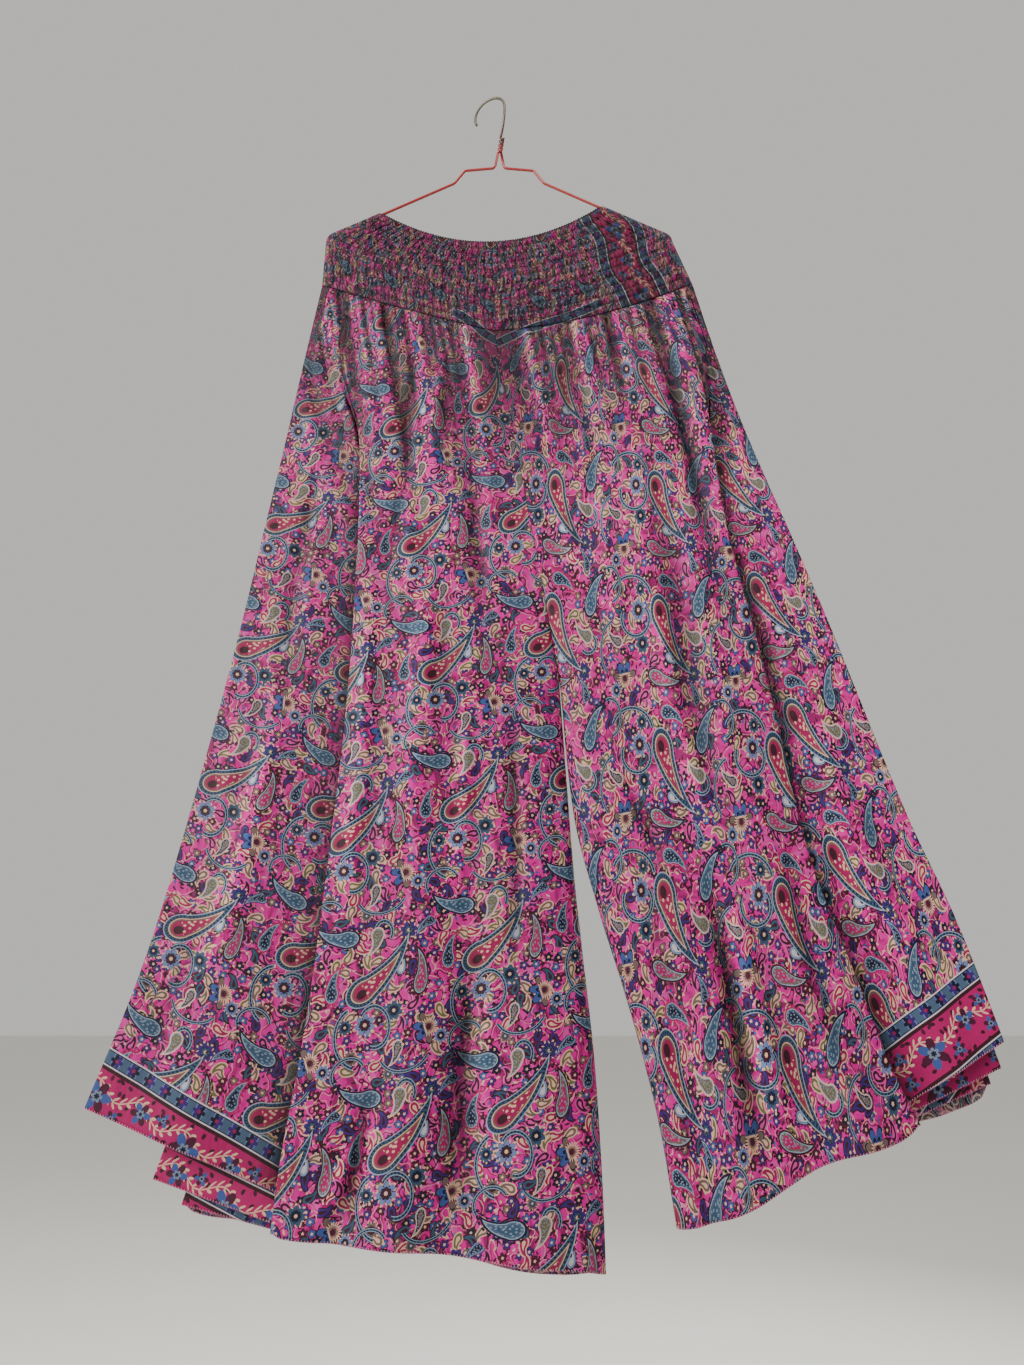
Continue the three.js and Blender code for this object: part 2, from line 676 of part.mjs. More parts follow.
function backColumns(form, legName) {
  const pleats = PLEATS[legName];
  const layer = (n) => (share, t) => form.pleatY(share, t, n);
  const { closed } = LEG.pleat;
  // In from the side, in order along the cloth: each place lies at its closed spacing where the
  // pleats are shut, and where the table says at the hem.
  const inset = (atHem, k) => (t) => lerp(closed * (k + 1), atHem, form.pleatOpen(t));
  const place = (atHem, k) => (t) => 1 - inset(atHem, k)(t) / form.width(t);
  // The hem that hangs in front of a pleat: the outer panel's, or the pleat's before it.
  const hemInFront = (n) => (share) => {
    if (n === 0) return form.hemOuter(share);
    const { tuck, tuckZ, edge, edgeZ } = pleats[n - 1];
    return lerp(edgeZ, tuckZ, ((1 - share) * form.width(1) - edge) / (tuck - edge));
  };
  const pleatTurns = pleats.flatMap((row, n) => {
    const [k, before, under, after] = [2 * n, layer(2 * n + 1), layer(2 * n + 2), layer(2 * n + 3)];
    const lap = (t) => inset(row.tuck, k)(t) - inset(row.edge, k + 1)(t);
    const shared = { order: -1, lap, closed };
    const start = n ? place(pleats[n - 1].edge, k - 1) : () => 1;
    const tuck = place(row.tuck, k);
    const onTheWay = (t) => {
      const share = lerp(start(t), tuck(t), lerp(0.6, 0.9, form.pleatOpen(t)));
      const point = form.plane(share, t, hemInFront(n)(share) + LEG.hiddenHemLift);
      point.y = before(share, t);
      return point;
    };
    return [
      onTheWay,
      ...turnColumns(form, { ...shared, edge: tuck, out: -1, before, after: under, hem: () => row.tuckZ }),
      ...turnColumns(form, {
        ...shared, edge: place(row.edge, k + 1), out: 1, before: under, after, hem: () => row.edgeZ,
      }),
    ];
  });
  const lastEdge = place(pleats.at(-1).edge, 2 * pleats.length - 1);
  const lastLayer = layer(2 * pleats.length + 1);
  const centre = steps(0, 1, GRID.back + 1).slice(1, -1).map((f) => (t) => {
    const start = lastEdge(t) - closed / 2 / form.width(t);
    const share = lerp(start, LEG.innerTurn, f);
    const settled = ease((lastEdge(t) - share) / 0.25);
    const point = form.plane(share, t, form.hemBack(share));
    point.y = lerp(lastLayer(share, t), form.backY(share, t), settled);
    return point;
  });
  const inner = innerColumns(form, form.backY, form.hemBack, true).reverse();
  return [...sideColumns(form, true), ...pleatTurns, ...centre, ...inner];
}

const LEG_ROWS = [
  ...steps(0, CROTCH.share, GRID.aboveCrotch),
  ...steps(CROTCH.share, 1, GRID.belowCrotch).slice(1),
];

function legGeometry(legName, back) {
  const form = makeLeg(legName);
  const columns = back ? backColumns(form, legName) : frontColumns(form);
  const grid = LEG_ROWS.map((t) => columns.map((column) => column(t)));
  grid[0].forEach((point) => (point.z -= SEAM_GAP / 2));
  const innerColumn = back ? columns.length - 1 : 0;
  const sideColumn = back ? 0 : columns.length - 1;
  const seam = (normal, i, j) => {
    if (i === 0) normal.z = 0;
    if (j === sideColumn) normal.y = 0;
    if (j === innerColumn && i < GRID.aboveCrotch) normal.x = 0;
    if (j === innerColumn && i === GRID.aboveCrotch) normal.set(0, back ? 1 : -1, 0);
    if (j === innerColumn && i > GRID.aboveCrotch) normal.y = 0;
  };
  return clothWall(grid, { face: -form.sign, seam });
}

// The pieces

const SILK = new THREE.MeshStandardMaterial({ color: 0xa83a7a, roughness: 0.55, metalness: 0 });
const SHIRRED_SILK = new THREE.MeshStandardMaterial({ color: 0x7c3560, roughness: 0.65, metalness: 0 });
const COATED_WIRE = new THREE.MeshStandardMaterial({ color: 0xa32a3c, roughness: 0.35, metalness: 0.1 });

const trousers = new THREE.Group();

function addPiece(name, geometry, material) {
  const mesh = new THREE.Mesh(geometry, material);
  mesh.name = name;
  trousers.add(mesh);
}

addPiece("hanger", hangerGeometry(), COATED_WIRE);
addPiece("waistband_front", bandGeometry(true), SHIRRED_SILK);
addPiece("waistband_back", bandGeometry(false), SHIRRED_SILK);
for (const legName of ["right", "left"]) {
  addPiece(`${legName}_leg_front`, legGeometry(legName, false), SILK);
  addPiece(`${legName}_leg_back`, legGeometry(legName, true), SILK);
}

export default trousers;
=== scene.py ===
# %% [markdown]
# # Wide-leg silk trousers on a wire hanger
#
# The trousers are thin printed silk with a shirred waistband, hung over the arms of a wire hanger.
# Nothing here is stiff: what the eye reads as shape is how the cloth falls. So each cut piece is
# worked out as a grid of points that follows the cloth, row by row from the waistband to the hem,
# and the grid is then given a thickness. The paisley print is drawn by shader nodes, on places
# that are measured along the cloth.
#
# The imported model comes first. It is the fixed frame that every piece here stands for.

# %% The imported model
import math

import bpy
import numpy as np
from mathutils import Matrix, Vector


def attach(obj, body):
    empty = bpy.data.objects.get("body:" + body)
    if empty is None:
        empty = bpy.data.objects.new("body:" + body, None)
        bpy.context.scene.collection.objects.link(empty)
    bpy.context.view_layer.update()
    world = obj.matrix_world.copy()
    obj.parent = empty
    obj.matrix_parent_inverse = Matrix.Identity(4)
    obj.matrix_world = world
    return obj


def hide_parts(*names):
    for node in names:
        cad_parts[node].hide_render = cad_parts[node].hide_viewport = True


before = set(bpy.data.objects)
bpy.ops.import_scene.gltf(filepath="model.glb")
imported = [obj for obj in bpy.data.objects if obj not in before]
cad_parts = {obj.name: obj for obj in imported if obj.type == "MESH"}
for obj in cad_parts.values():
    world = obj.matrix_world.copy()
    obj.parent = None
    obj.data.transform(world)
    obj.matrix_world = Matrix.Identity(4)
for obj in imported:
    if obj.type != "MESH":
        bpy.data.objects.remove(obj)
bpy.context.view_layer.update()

print("pieces in the frame:", sorted(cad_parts))

# %% [markdown]
# ## Camera
#
# The trousers hang above the camera's height, and the camera looks up at them. That is why they
# look narrow at the waist and wide at the hem. The camera comes first, because every choice of
# detail below depends on what it sees.

# %% The camera
MM = 0.001
CAMERA = {"place": (26.8, -1050, -1037), "pitch_up": 16, "focal_pixels": 1065, "image_height": 1365}

camera_data = bpy.data.cameras.new("camera")
camera_data.sensor_width = 36
camera_data.lens = CAMERA["focal_pixels"] / CAMERA["image_height"] * camera_data.sensor_width
camera = bpy.data.objects.new("camera", camera_data)
camera.location = Vector(CAMERA["place"]) * MM
camera.rotation_euler = (math.radians(90 + CAMERA["pitch_up"]), 0, 0)
bpy.context.scene.collection.objects.link(camera)
bpy.context.scene.camera = camera
print(f"lens {camera_data.lens:.1f} mm")

# %% [markdown]
# ## Ways to draw a line
#
# A garment's edges are soft curves through a few measured points. `follow` draws one through the
# rows of a short table. The other helpers fade one value into another.

# %% Curves and fades
def lerp(a, b, f):
    return a + (b - a) * f


def ease(f):
    f = np.clip(f, 0, 1)
    return f**2 * (3 - 2 * f)


def ramp(value, start, end):
    return ease((value - start) / (end - start))


def hump(f):
    return 4 * f * (1 - f)


def steps(a, b, count):
    return np.linspace(a, b, count + 1)


def follow(rows):
    """A smooth curve through rows of (x, y)."""
    x, y = np.array(sorted(rows), float).T
    last = len(x) - 1
    before = np.maximum(np.arange(last + 1) - 1, 0)
    after = np.minimum(np.arange(last + 1) + 1, last)
    slope = (y[after] - y[before]) / (x[after] - x[before])

    def value(at):
        i = np.clip(np.searchsorted(x, at, side="right") - 1, 0, last - 1)
        span = x[i + 1] - x[i]
        f = np.clip((at - x[i]) / span, 0, 1)
        bend = slope[i] * span * f * (1 - f) ** 2 - slope[i + 1] * span * f**2 * (1 - f)
        return lerp(y[i], y[i + 1], ease(f)) + bend

    return value


# %% [markdown]
# ## From a grid to cloth
#
# Real silk is about 0.2 mm thick. A shell a little thicker than that renders cleanly and still
# looks thin at the hem. The grid is moved half the thickness to each side, and a narrow rim joins
# the two. The rim's faces are flat shaded, which keeps the soft shading of the cloth away from it.
# Each point also carries two places: where it lies on the printed cloth, and where it lies on the
# border. A third number, its painted shade, darkens the bottoms of puckers, which are deeper and
# narrower on the real cloth than a grid can show, and lightens or darkens other parts of the cloth
# for how the light falls there.

# %% Cloth from a grid of points
CLOTH = 0.7
NO_STRIP = 200.0


def grid_normals(grid):
    across = np.empty_like(grid)
    across[:, 1:-1] = grid[:, 2:] - grid[:, :-2]
    across[:, 0] = grid[:, 1] - grid[:, 0]
    across[:, -1] = grid[:, -1] - grid[:, -2]
    down = np.empty_like(grid)
    down[1:-1] = grid[2:] - grid[:-2]
    down[0] = grid[1] - grid[0]
    down[-1] = grid[-1] - grid[-2]
    return unit(np.cross(unit(across), unit(down)))


def unit(vectors):
    return vectors / np.maximum(np.linalg.norm(vectors, axis=-1, keepdims=True), 1e-9)


def mesh_object(name, points, faces, flat_from=None):
    """A mesh from points in millimetres. Faces from number flat_from on are flat shaded."""
    mesh = bpy.data.meshes.new(name)
    mesh.from_pydata((np.asarray(points, float) * MM).tolist(), [], np.asarray(faces).tolist())
    smooth = np.ones(len(mesh.polygons), bool)
    if flat_from is not None:
        smooth[flat_from:] = False
    mesh.polygons.foreach_set("use_smooth", smooth)
    made = bpy.data.objects.new(name, mesh)
    bpy.context.scene.collection.objects.link(made)
    return made


def give_places(made, name, places):
    """Keeps a place of two numbers at each point, for the materials to read."""
    attribute = made.data.attributes.new(name, "FLOAT_VECTOR", "POINT")
    full = np.zeros((len(places), 3), np.float32)
    full[:, : places.shape[1]] = places
    attribute.data.foreach_set("vector", full.ravel())


# By piece: how many points a row of its grid has, and the size that it was cut to.
GRID_COLUMNS = {}
CUTS = {}


def measure_cut(grid):
    """Width, length and area in metres of a piece of cloth when its grid is laid flat."""
    across = np.linalg.norm(np.diff(grid, axis=1), axis=2)
    down = np.linalg.norm(np.diff(grid, axis=0), axis=2)
    a, b = grid[1:, 1:] - grid[:-1, :-1], grid[1:, :-1] - grid[:-1, 1:]
    area = np.linalg.norm(np.cross(a, b), axis=2).sum() / 2
    width, length = across.sum(axis=1).max(), down.sum(axis=0).max()
    return width * MM, length * MM, area * MM**2


def cloth_piece(name, grid, facing, print_places, strip_places, shade):
    """A closed thin shell on a grid of points. facing is 1 or -1, so that its outside faces out."""
    rows, columns = grid.shape[:2]
    lift = grid_normals(grid) * facing * CLOTH / 2
    points = np.concatenate([(grid + lift).reshape(-1, 3), (grid - lift).reshape(-1, 3)])
    at = np.arange(rows * columns).reshape(rows, columns)
    under = at + rows * columns
    quad = np.stack([at[:-1, :-1], at[:-1, 1:], at[1:, 1:], at[1:, :-1]], -1).reshape(-1, 4)
    quad_under = np.stack([under[:-1, :-1], under[1:, :-1], under[1:, 1:], under[:-1, 1:]], -1)
    rim = np.concatenate([at[0, :-1], at[:-1, -1], at[-1, :0:-1], at[:0:-1, 0]])
    next_rim = np.roll(rim, -1)
    edge = np.stack([rim, rim + rows * columns, next_rim + rows * columns, next_rim], -1)
    faces = np.concatenate([quad, quad_under.reshape(-1, 4), edge])
    if facing < 0:
        faces = faces[:, ::-1]
    made = mesh_object(name, points, faces, flat_from=2 * len(quad))
    for attribute, places in (("print_place", print_places), ("strip_place", strip_places)):
        flat = places.reshape(-1, 2)
        give_places(made, attribute, np.concatenate([flat, flat]))
    give_places(made, "shade", np.concatenate([shade.reshape(-1, 1)] * 2))
    GRID_COLUMNS[name] = columns
    CUTS[name] = measure_cut(grid)
    width, length, area = CUTS[name]
    print(f"{name}: {2 * len(faces)} triangles, cut {width:.3f} x {length:.3f} m, {area:.3f} m2")
    return made


# %% [markdown]
# ## The hanger
#
# One steel wire makes the whole hanger: the hook, a neck of two twisted strands, a notch for straps
# on each shoulder, two arms and a bar. A curve with a round section is the natural tool, because a
# wire is just that. Its path is straight lines joined by round bends.

# %% The wire's path
WIRE_RADIUS = 1.6
HANGER = {
    "centre_x": 12,
    "hook_radius": 20.6,
    "hook_turn": 30,
    "hook_tip": 205,
    "hook_points": 40,
    "stem_bend": 0.6,
    "stem_points": 12,
    "neck_top": -55,
    "neck_bottom": -77,
    "neck_lean": 3,
    "strand": 1.8,
    "twists": 2,
}
# Corners of the wire on one side: how far out from the middle, how high, and how round.
SHOULDER = [(5.5, -99, 5), (40.5, -102.7, 4), (52.7, -120.6, 10), (228.7, -213, 10)]


def corner_arc(before, corner, after, round_by):
    """The centre of the arc that rounds a corner, and the points where it starts and ends."""
    back, on = unit(before - corner), unit(after - corner)
    half = math.acos(np.clip(back @ on, -1, 1)) / 2
    reach = round_by / math.tan(half)
    centre = corner + unit(back + on) * round_by / math.sin(half)
    return corner + back * reach, corner + on * reach, centre


def arc_points(start, end, centre, count=8):
    a, b = start - centre, end - centre
    angle = math.acos(np.clip(unit(a) @ unit(b), -1, 1))
    shares = steps(0, 1, count)[:, None]
    return centre + (a * np.sin((1 - shares) * angle) + b * np.sin(shares * angle)) / math.sin(angle)


def shoulder_points(side):
    """One side of the hanger from the foot of the neck to the middle of the bar."""
    middle = HANGER["centre_x"]
    corners = [(HANGER["strand"], HANGER["neck_bottom"])] + [row[:2] for row in SHOULDER]
    corners.append((0, SHOULDER[-1][1]))
    line = [np.array([middle + side * out, 0, z], float) for out, z in corners]
    arcs = [
        arc_points(*corner_arc(line[i], line[i + 1], line[i + 2], SHOULDER[i][2]))
        for i in range(len(SHOULDER))
    ]
    return np.concatenate(arcs)


def strand_points(start_angle, points_a_turn=20):
    """One strand of the twisted neck, from its top down."""
    share = steps(0, 1, HANGER["twists"] * points_a_turn)
    angle = start_angle + share * HANGER["twists"] * 2 * math.pi
    x = HANGER["centre_x"] + HANGER["neck_lean"] * (1 - share) + HANGER["strand"] * np.cos(angle)
    z = lerp(HANGER["neck_top"], HANGER["neck_bottom"], share)
    return np.stack([x, HANGER["strand"] * np.sin(angle), z], -1)


def hook_points(neck_start):
    """The hook from its tip over the top, then the stem down to the neck."""
    radius = HANGER["hook_radius"]
    angle = np.radians(steps(HANGER["hook_tip"], 0, HANGER["hook_points"]))
    turn = math.radians(HANGER["hook_turn"])
    out = radius * np.cos(angle)
    height = WIRE_RADIUS - radius + radius * np.sin(angle)
    arc = np.stack([out * math.cos(turn), -out * math.sin(turn), height], -1)
    top = arc[-1]
    bend = np.array([top[0], top[1], lerp(top[2], neck_start[2], HANGER["stem_bend"])])
    f = steps(0, 1, HANGER["stem_points"])[1:-1, None]
    stem = top * (1 - f) ** 2 + 2 * bend * f * (1 - f) + neck_start * f**2
    return np.concatenate([arc, stem])


def wire_path():
    left, right = strand_points(math.pi), strand_points(0)
    shoulders = [shoulder_points(-1), shoulder_points(1)[::-1]]
    return np.concatenate([hook_points(left[0]), left, *shoulders, right[::-1]])


# %% The wire itself
def wire_object(name, path, radius, around=16):
    """A round wire along a path. Each ring of points is turned on from the one before it."""
    along = np.empty_like(path)
    along[1:-1] = path[2:] - path[:-2]
    along[0], along[-1] = path[1] - path[0], path[-1] - path[-2]
    along = unit(along)
    side = unit(np.cross(along[0], [0.3, 1, 0.2]))
    angles = steps(0, 2 * math.pi, around)[:-1, None]
    rings = []
    for point, ahead in zip(path, along):
        side = unit(side - ahead * (side @ ahead))
        rings.append(point + radius * (np.cos(angles) * side + np.sin(angles) * np.cross(ahead, side)))
    at = np.arange(len(path) * around).reshape(-1, around)
    turned = np.roll(at, -1, axis=1)
    sides = np.stack([at[:-1], turned[:-1], turned[1:], at[1:]], -1).reshape(-1, 4).tolist()
    ends = [at[0, ::-1].tolist(), at[-1].tolist()]
    mesh = bpy.data.meshes.new(name)
    mesh.from_pydata((np.concatenate(rings) * MM).tolist(), [], sides + ends)
    mesh.polygons.foreach_set("use_smooth", np.arange(len(mesh.polygons)) < len(sides))
    made = bpy.data.objects.new(name, mesh)
    bpy.context.scene.collection.objects.link(made)
    return made


path = wire_path()
hanger_wire = wire_object("hanger_wire", path, WIRE_RADIUS)
print(f"wire: {np.linalg.norm(np.diff(path, axis=0), axis=1).sum():.0f} mm long")

# %% [markdown]
# ## The waistband
#
# A shirred waistband is a strip of cloth sewn flat while rows of elastic thread are stretched, and
# it puckers when they relax. Between two rows the cloth puffs out, and on a row it is pinched. The
# same rule makes the surface here: a wave across the strip whose height falls at every row of
# elastic. Its ridges drift a little from row to row, because no pucker is sewn straight.

# %% The waistband's outline
BAND = {
    "top": (3.5, -210.6),
    "seam": (7, -328),
    "arm_start": {"right": 140, "left": 121},
    "sag": 13,
    "seam_sag": {"right": 3, "left": 12},
    "gathers": 40,
    "gather_height": 2.2,
    # Painted shade of the puckers: the darkest and lightest shade, and the pucker heights in mm between which
    # it goes from one to the other.
    "darkest": 0.12,
    "lightest": 1.05,
    "valley": (0.3, 2.4),
}
HALF_DEPTH = {"side": 4, "centre": 9}
CLEAR_OF_ARM = WIRE_RADIUS + 0.3 + 0.75
CLEAR_OF_END = WIRE_RADIUS + 0.7 + 0.75
SIDE_TOP = {"right": (-191, -264), "left": (234, -262)}
SIDE_STATIONS = np.concatenate([[0, 1], steps(2, 5, 12), [6, 7]])


def band_side(leg_name):
    """The line that the waistband's side follows: along the arm, round its end and down to the seam."""
    sign = 1 if leg_name == "left" else -1
    middle = np.array([HANGER["centre_x"], 0, 0], float)
    (foot_out, foot_z, _), (end_out, end_z, end_round) = SHOULDER[-2:]
    foot = middle + [sign * foot_out, 0, foot_z]
    end = middle + [sign * end_out, 0, end_z]
    arc_start, _, centre = corner_arc(foot, end, middle + [0, 0, end_z], end_round)
    up = unit(arc_start - centre)
    share = (BAND["arm_start"][leg_name] - foot_out) / (end_out - foot_out)
    start = lerp(foot, end, share) + up * CLEAR_OF_ARM
    half = lerp(start, arc_start + up * CLEAR_OF_ARM, 0.5)
    angle = lerp(math.atan2(up[2], abs(up[0])), 0, steps(0, 1, 12))
    reach = end_round + CLEAR_OF_END
    arc = centre + reach * np.stack([sign * np.cos(angle), 0 * angle, np.sin(angle)], -1)
    x, z = SIDE_TOP[leg_name]
    seam = np.array([x, 0, z], float)
    return np.concatenate([[start, half], arc, [lerp(arc[-1], seam, 0.5), seam]])


BAND_SIDES = {name: band_side(name) for name in ("right", "left")}
side_lengths = np.linalg.norm(np.diff(BAND_SIDES["right"], axis=0), axis=1)
STATION_SHARES = np.concatenate([[0], np.cumsum(side_lengths)]) / side_lengths.sum()


def band_plane(across, down):
    """x and z of the waistband. across is -1 at the right side and 1 at the left, down is 0 to 1."""
    station = np.interp(down, STATION_SHARES, SIDE_STATIONS)
    x = lerp(BAND["top"][0], BAND["seam"][0], down)
    z = lerp(BAND["top"][1], BAND["seam"][1], down)
    share = np.abs(across)
    for name, chosen in (("right", across < 0), ("left", across >= 0)):
        side_x = np.interp(station, SIDE_STATIONS, BAND_SIDES[name][:, 0])
        side_z = np.interp(station, SIDE_STATIONS, BAND_SIDES[name][:, 2])
        sag = lerp(BAND["sag"], BAND["seam_sag"][name], down) * hump(share)
        x = np.where(chosen, lerp(x, side_x, share), x)
        z = np.where(chosen, lerp(z, side_z, share) - sag, z)
    return x, z


# %% [markdown]
# The puckers are the part that sells a shirred waistband. They are a sum of two waves: the forty
# broad gathers of each face and the fine ones that ride on them. The fine wave's phase steps a
# little at each row of elastic.

# %% Puckers between rows of elastic
ELASTIC_ROWS = 12
FINE_GATHERS = 92
# Near the seam, over this share of the band's length, puckers sink to this share of their height;
# "valley" is the share that their painted shade is measured against there.
SEAM_CALM = {"share": 0.16, "pucker": 0.3, "valley": 0.35}
SCALLOP = 1.6


def drift(value, seed):
    """A slow, uneven wander between -1 and 1."""
    waves = [(1.0, 1.0, seed), (0.7, 2.3, 2.1 * seed), (0.5, 4.1, seed**2)]
    total = sum(height for height, _, _ in waves)
    return sum(height * np.sin(value * rate + phase) for height, rate, phase in waves) / total


def pucker_height(across, down, seed):
    """How far the shirred cloth stands out of its plain wall, in millimetres."""
    row = down * ELASTIC_ROWS
    puff = 0.45 + 0.55 * np.sqrt(np.abs(np.sin(math.pi * row)))
    broad_phase = across * BAND["gathers"] / 2 + 0.35 * drift(row * 0.6 + across * 3, seed)
    broad = np.abs(np.sin(math.pi * broad_phase)) ** 1.3
    wander = 0.5 * drift(across * 17, seed + 1) + 0.45 * drift(row * 1.7, seed + 2)
    fine = np.abs(np.sin(math.pi * (across * FINE_GATHERS / 2 + wander))) ** 0.8
    uneven = 1 + 0.35 * drift(across * 29 + row * 2.6, seed + 3)
    calm = lerp(SEAM_CALM["pucker"], 1, ramp(1 - down, 0, SEAM_CALM["share"]))
    rim = lerp(0.5, 1, ramp(down, 0, 0.04)) * calm
    return BAND["gather_height"] * rim * puff * uneven * (0.55 * broad + 0.75 * fine)


# %% The waistband's two halves
BAND_GRID = {"rows": 96, "columns": 380, "turn": 6}
SEAM_GAP = 0.15
GATHER_RATIO = 1.9  # how much cloth lies in the puckers


def band_grid(front):
    """One face of the waistband, in rows from the free edge down and columns from right to left."""
    down = steps(0, 1, BAND_GRID["rows"])[:, None]
    edge = lerp(CLEAR_OF_ARM, HALF_DEPTH["side"], ramp(down, STATION_SHARES[-3], 1))
    x0, z0 = band_plane(np.zeros_like(down), down)
    angles = np.radians(steps(0, 90, BAND_GRID["turn"]))

    def at(across, depth):
        x, z = band_plane(across, down + 0 * across)
        return np.stack([x, np.broadcast_to(depth, x.shape), z], -1)

    def width(sign):
        x, z = band_plane(sign * np.ones_like(down), down)
        return np.hypot(x - x0, z - z0)

    def turn(sign):
        across = sign * (1 - edge * (1 - np.cos(angles)) / width(sign))
        return at(across, np.maximum(edge * np.sin(angles), SEAM_GAP))

    shares = steps(0, 1, BAND_GRID["columns"])[1:-1]
    start, end = -(1 - edge / width(-1)), 1 - edge / width(1)
    across = lerp(start, end, shares)
    middle = at(across, lerp(HALF_DEPTH["centre"], edge, across**2))
    grid = np.concatenate([turn(-1), middle, turn(1)[:, ::-1]], axis=1)
    plain = grid.copy()
    height = pucker_height(across, down, seed=1.3 if front else 4.2)
    fade = ramp(np.minimum(shares, 1 - shares), 0, 0.02)
    inner = slice(BAND_GRID["turn"] + 1, -BAND_GRID["turn"] - 1)
    grid[:, inner, 1] += height * fade
    scallop = np.abs(np.sin(math.pi * across * FINE_GATHERS / 2)) ** 0.7
    grid[:, inner, 2] += SCALLOP * scallop * fade * ramp(down, 0.03, 0)
    # Painted shade: the cloth is darker where its puckers sink low and lighter where they stand out.
    shade = np.ones(grid.shape[:2])
    calm = lerp(SEAM_CALM["valley"], 1, ramp(1 - down, 0, SEAM_CALM["share"]))
    shade[:, inner] = lerp(BAND["darkest"], BAND["lightest"], ramp(height / calm, *BAND["valley"]))
    if front:
        grid[..., 1] *= -1
        plain[..., 1] *= -1
    return grid, plain, shade


def band_places(grid, plain, front):
    """Places on the printed cloth. More of the cloth goes by than the eye sees, in the puckers."""
    across = np.linalg.norm(np.diff(plain, axis=1), axis=2)
    length = np.concatenate([np.zeros((len(grid), 1)), np.cumsum(across, axis=1)], axis=1)
    length = length - length[:, length.shape[1] // 2][:, None]
    down = np.linalg.norm(np.diff(plain, axis=0), axis=2).mean(axis=1)
    down = np.concatenate([[0], np.cumsum(down)])[:, None]
    side = 1 if front else -1
    return np.stack([side * length * GATHER_RATIO, np.broadcast_to(-down, length.shape)], -1)


# %% [markdown]
# Near its left side the waistband was cut across the border, so a floral band between two blue
# ribbons runs down it. `strip_line` gives every point its place along and across such a strip.

# %% A strip of border on the waistband
# Half widths: the floral band, the line beside it, the ribbon. Then the ribbon's edge and repeats.
BORDER = {"floral": 20.5, "line": 23.7, "ribbon": 38.7, "edge": 1.3, "period": 94.5, "ribbon_period": 36}


def strip_line(points, start, end, spread=1.0, bow=0.0):
    """Places along and across a line from start to end. spread widens the strip's own measure."""
    start, end = np.array(start, float), np.array(end, float)
    ahead = unit(end - start)
    from_start = points[..., [0, 2]] - start
    along = from_start @ ahead
    across = from_start @ np.array([-ahead[1], ahead[0]])
    share = np.clip(along / np.linalg.norm(end - start), 0, 1)
    across = across - bow * np.sin(share * 2 * math.pi)
    return np.stack([along, across * spread], -1)


BAND_STRIP = {"start": (138, -175), "end": (170, -262), "spread": 1.28, "bow": 4}
STRIP_FROM_X = 60  # the strip is looked for on this side of x


# %% The chevron below the waistband
CHEVRON = {
    "tip": (13.2, -342),
    "right": (-38, -304.5),
    "left": (129.3, -290),
    "widen": 1.35,
    "bow": 1.5,
    "lowest_z": -420,
    "last_x": 132,
}


def chevron_places(points, leg_name):
    """Places on the ribbon of one arm of the chevron, and where they hold."""
    places = strip_line(points, CHEVRON["tip"], CHEVRON[leg_name], bow=CHEVRON["bow"])
    middle = (BORDER["line"] + BORDER["ribbon"]) / 2
    off = np.abs(places[..., 1]) * CHEVRON["widen"]
    places[..., 1] = middle + off
    reach = math.dist(CHEVRON["tip"], CHEVRON[leg_name])
    within = (places[..., 0] < reach) & (off < 3 * BORDER["line"])
    return places, within & (points[..., 2] > CHEVRON["lowest_z"])


def build_band(front):
    grid, plain, shade = band_grid(front)
    prints = band_places(grid, plain, front)
    strips = np.full(prints.shape, NO_STRIP)
    if front:
        beyond = plain[0, :, 0] > STRIP_FROM_X
        strips[:, beyond] = strip_line(plain[:, beyond], **BAND_STRIP)
        for leg_name, side in (("right", -1), ("left", 1)):
            chevron, holds = chevron_places(plain, leg_name)
            middle_x = CHEVRON["tip"][0]
            holds = holds & (side * (plain[..., 0] - middle_x) > 0) & (plain[..., 0] < CHEVRON["last_x"])
            strips = np.where(holds[..., None], chevron, strips)
    name = "waistband_front_silk" if front else "waistband_back_silk"
    return cloth_piece(name, grid, -1 if front else 1, prints, strips, shade)


bands = {"front": build_band(True), "back": build_band(False)}

# %% [markdown]
# ## The legs
#
# Each leg is a front and a back, joined at the side and at the inseam. Every table below gives real
# sizes in millimetres: the two edges, the line of the long fold on the front, and the hems. The
# centre of each front laps over an outer panel, and the outer hem is laid in pleats behind it.

# %% The legs' sizes
CROTCH = {"x": 75, "z": -731, "share": 0.42}
LEG = {
    "forward": 20,
    "backward": 6,
    "inner_turn": 0.12,
    "inner_gap": 1.0,
    "fold_step": 5,
    "fold_closed": 10,
    "pleat_step": 4,
    "pleat_closed": 10,
    "pleat_opens": 0.3,
    "pleat_open": 0.72,
    "hidden_hem_lift": 6,
}
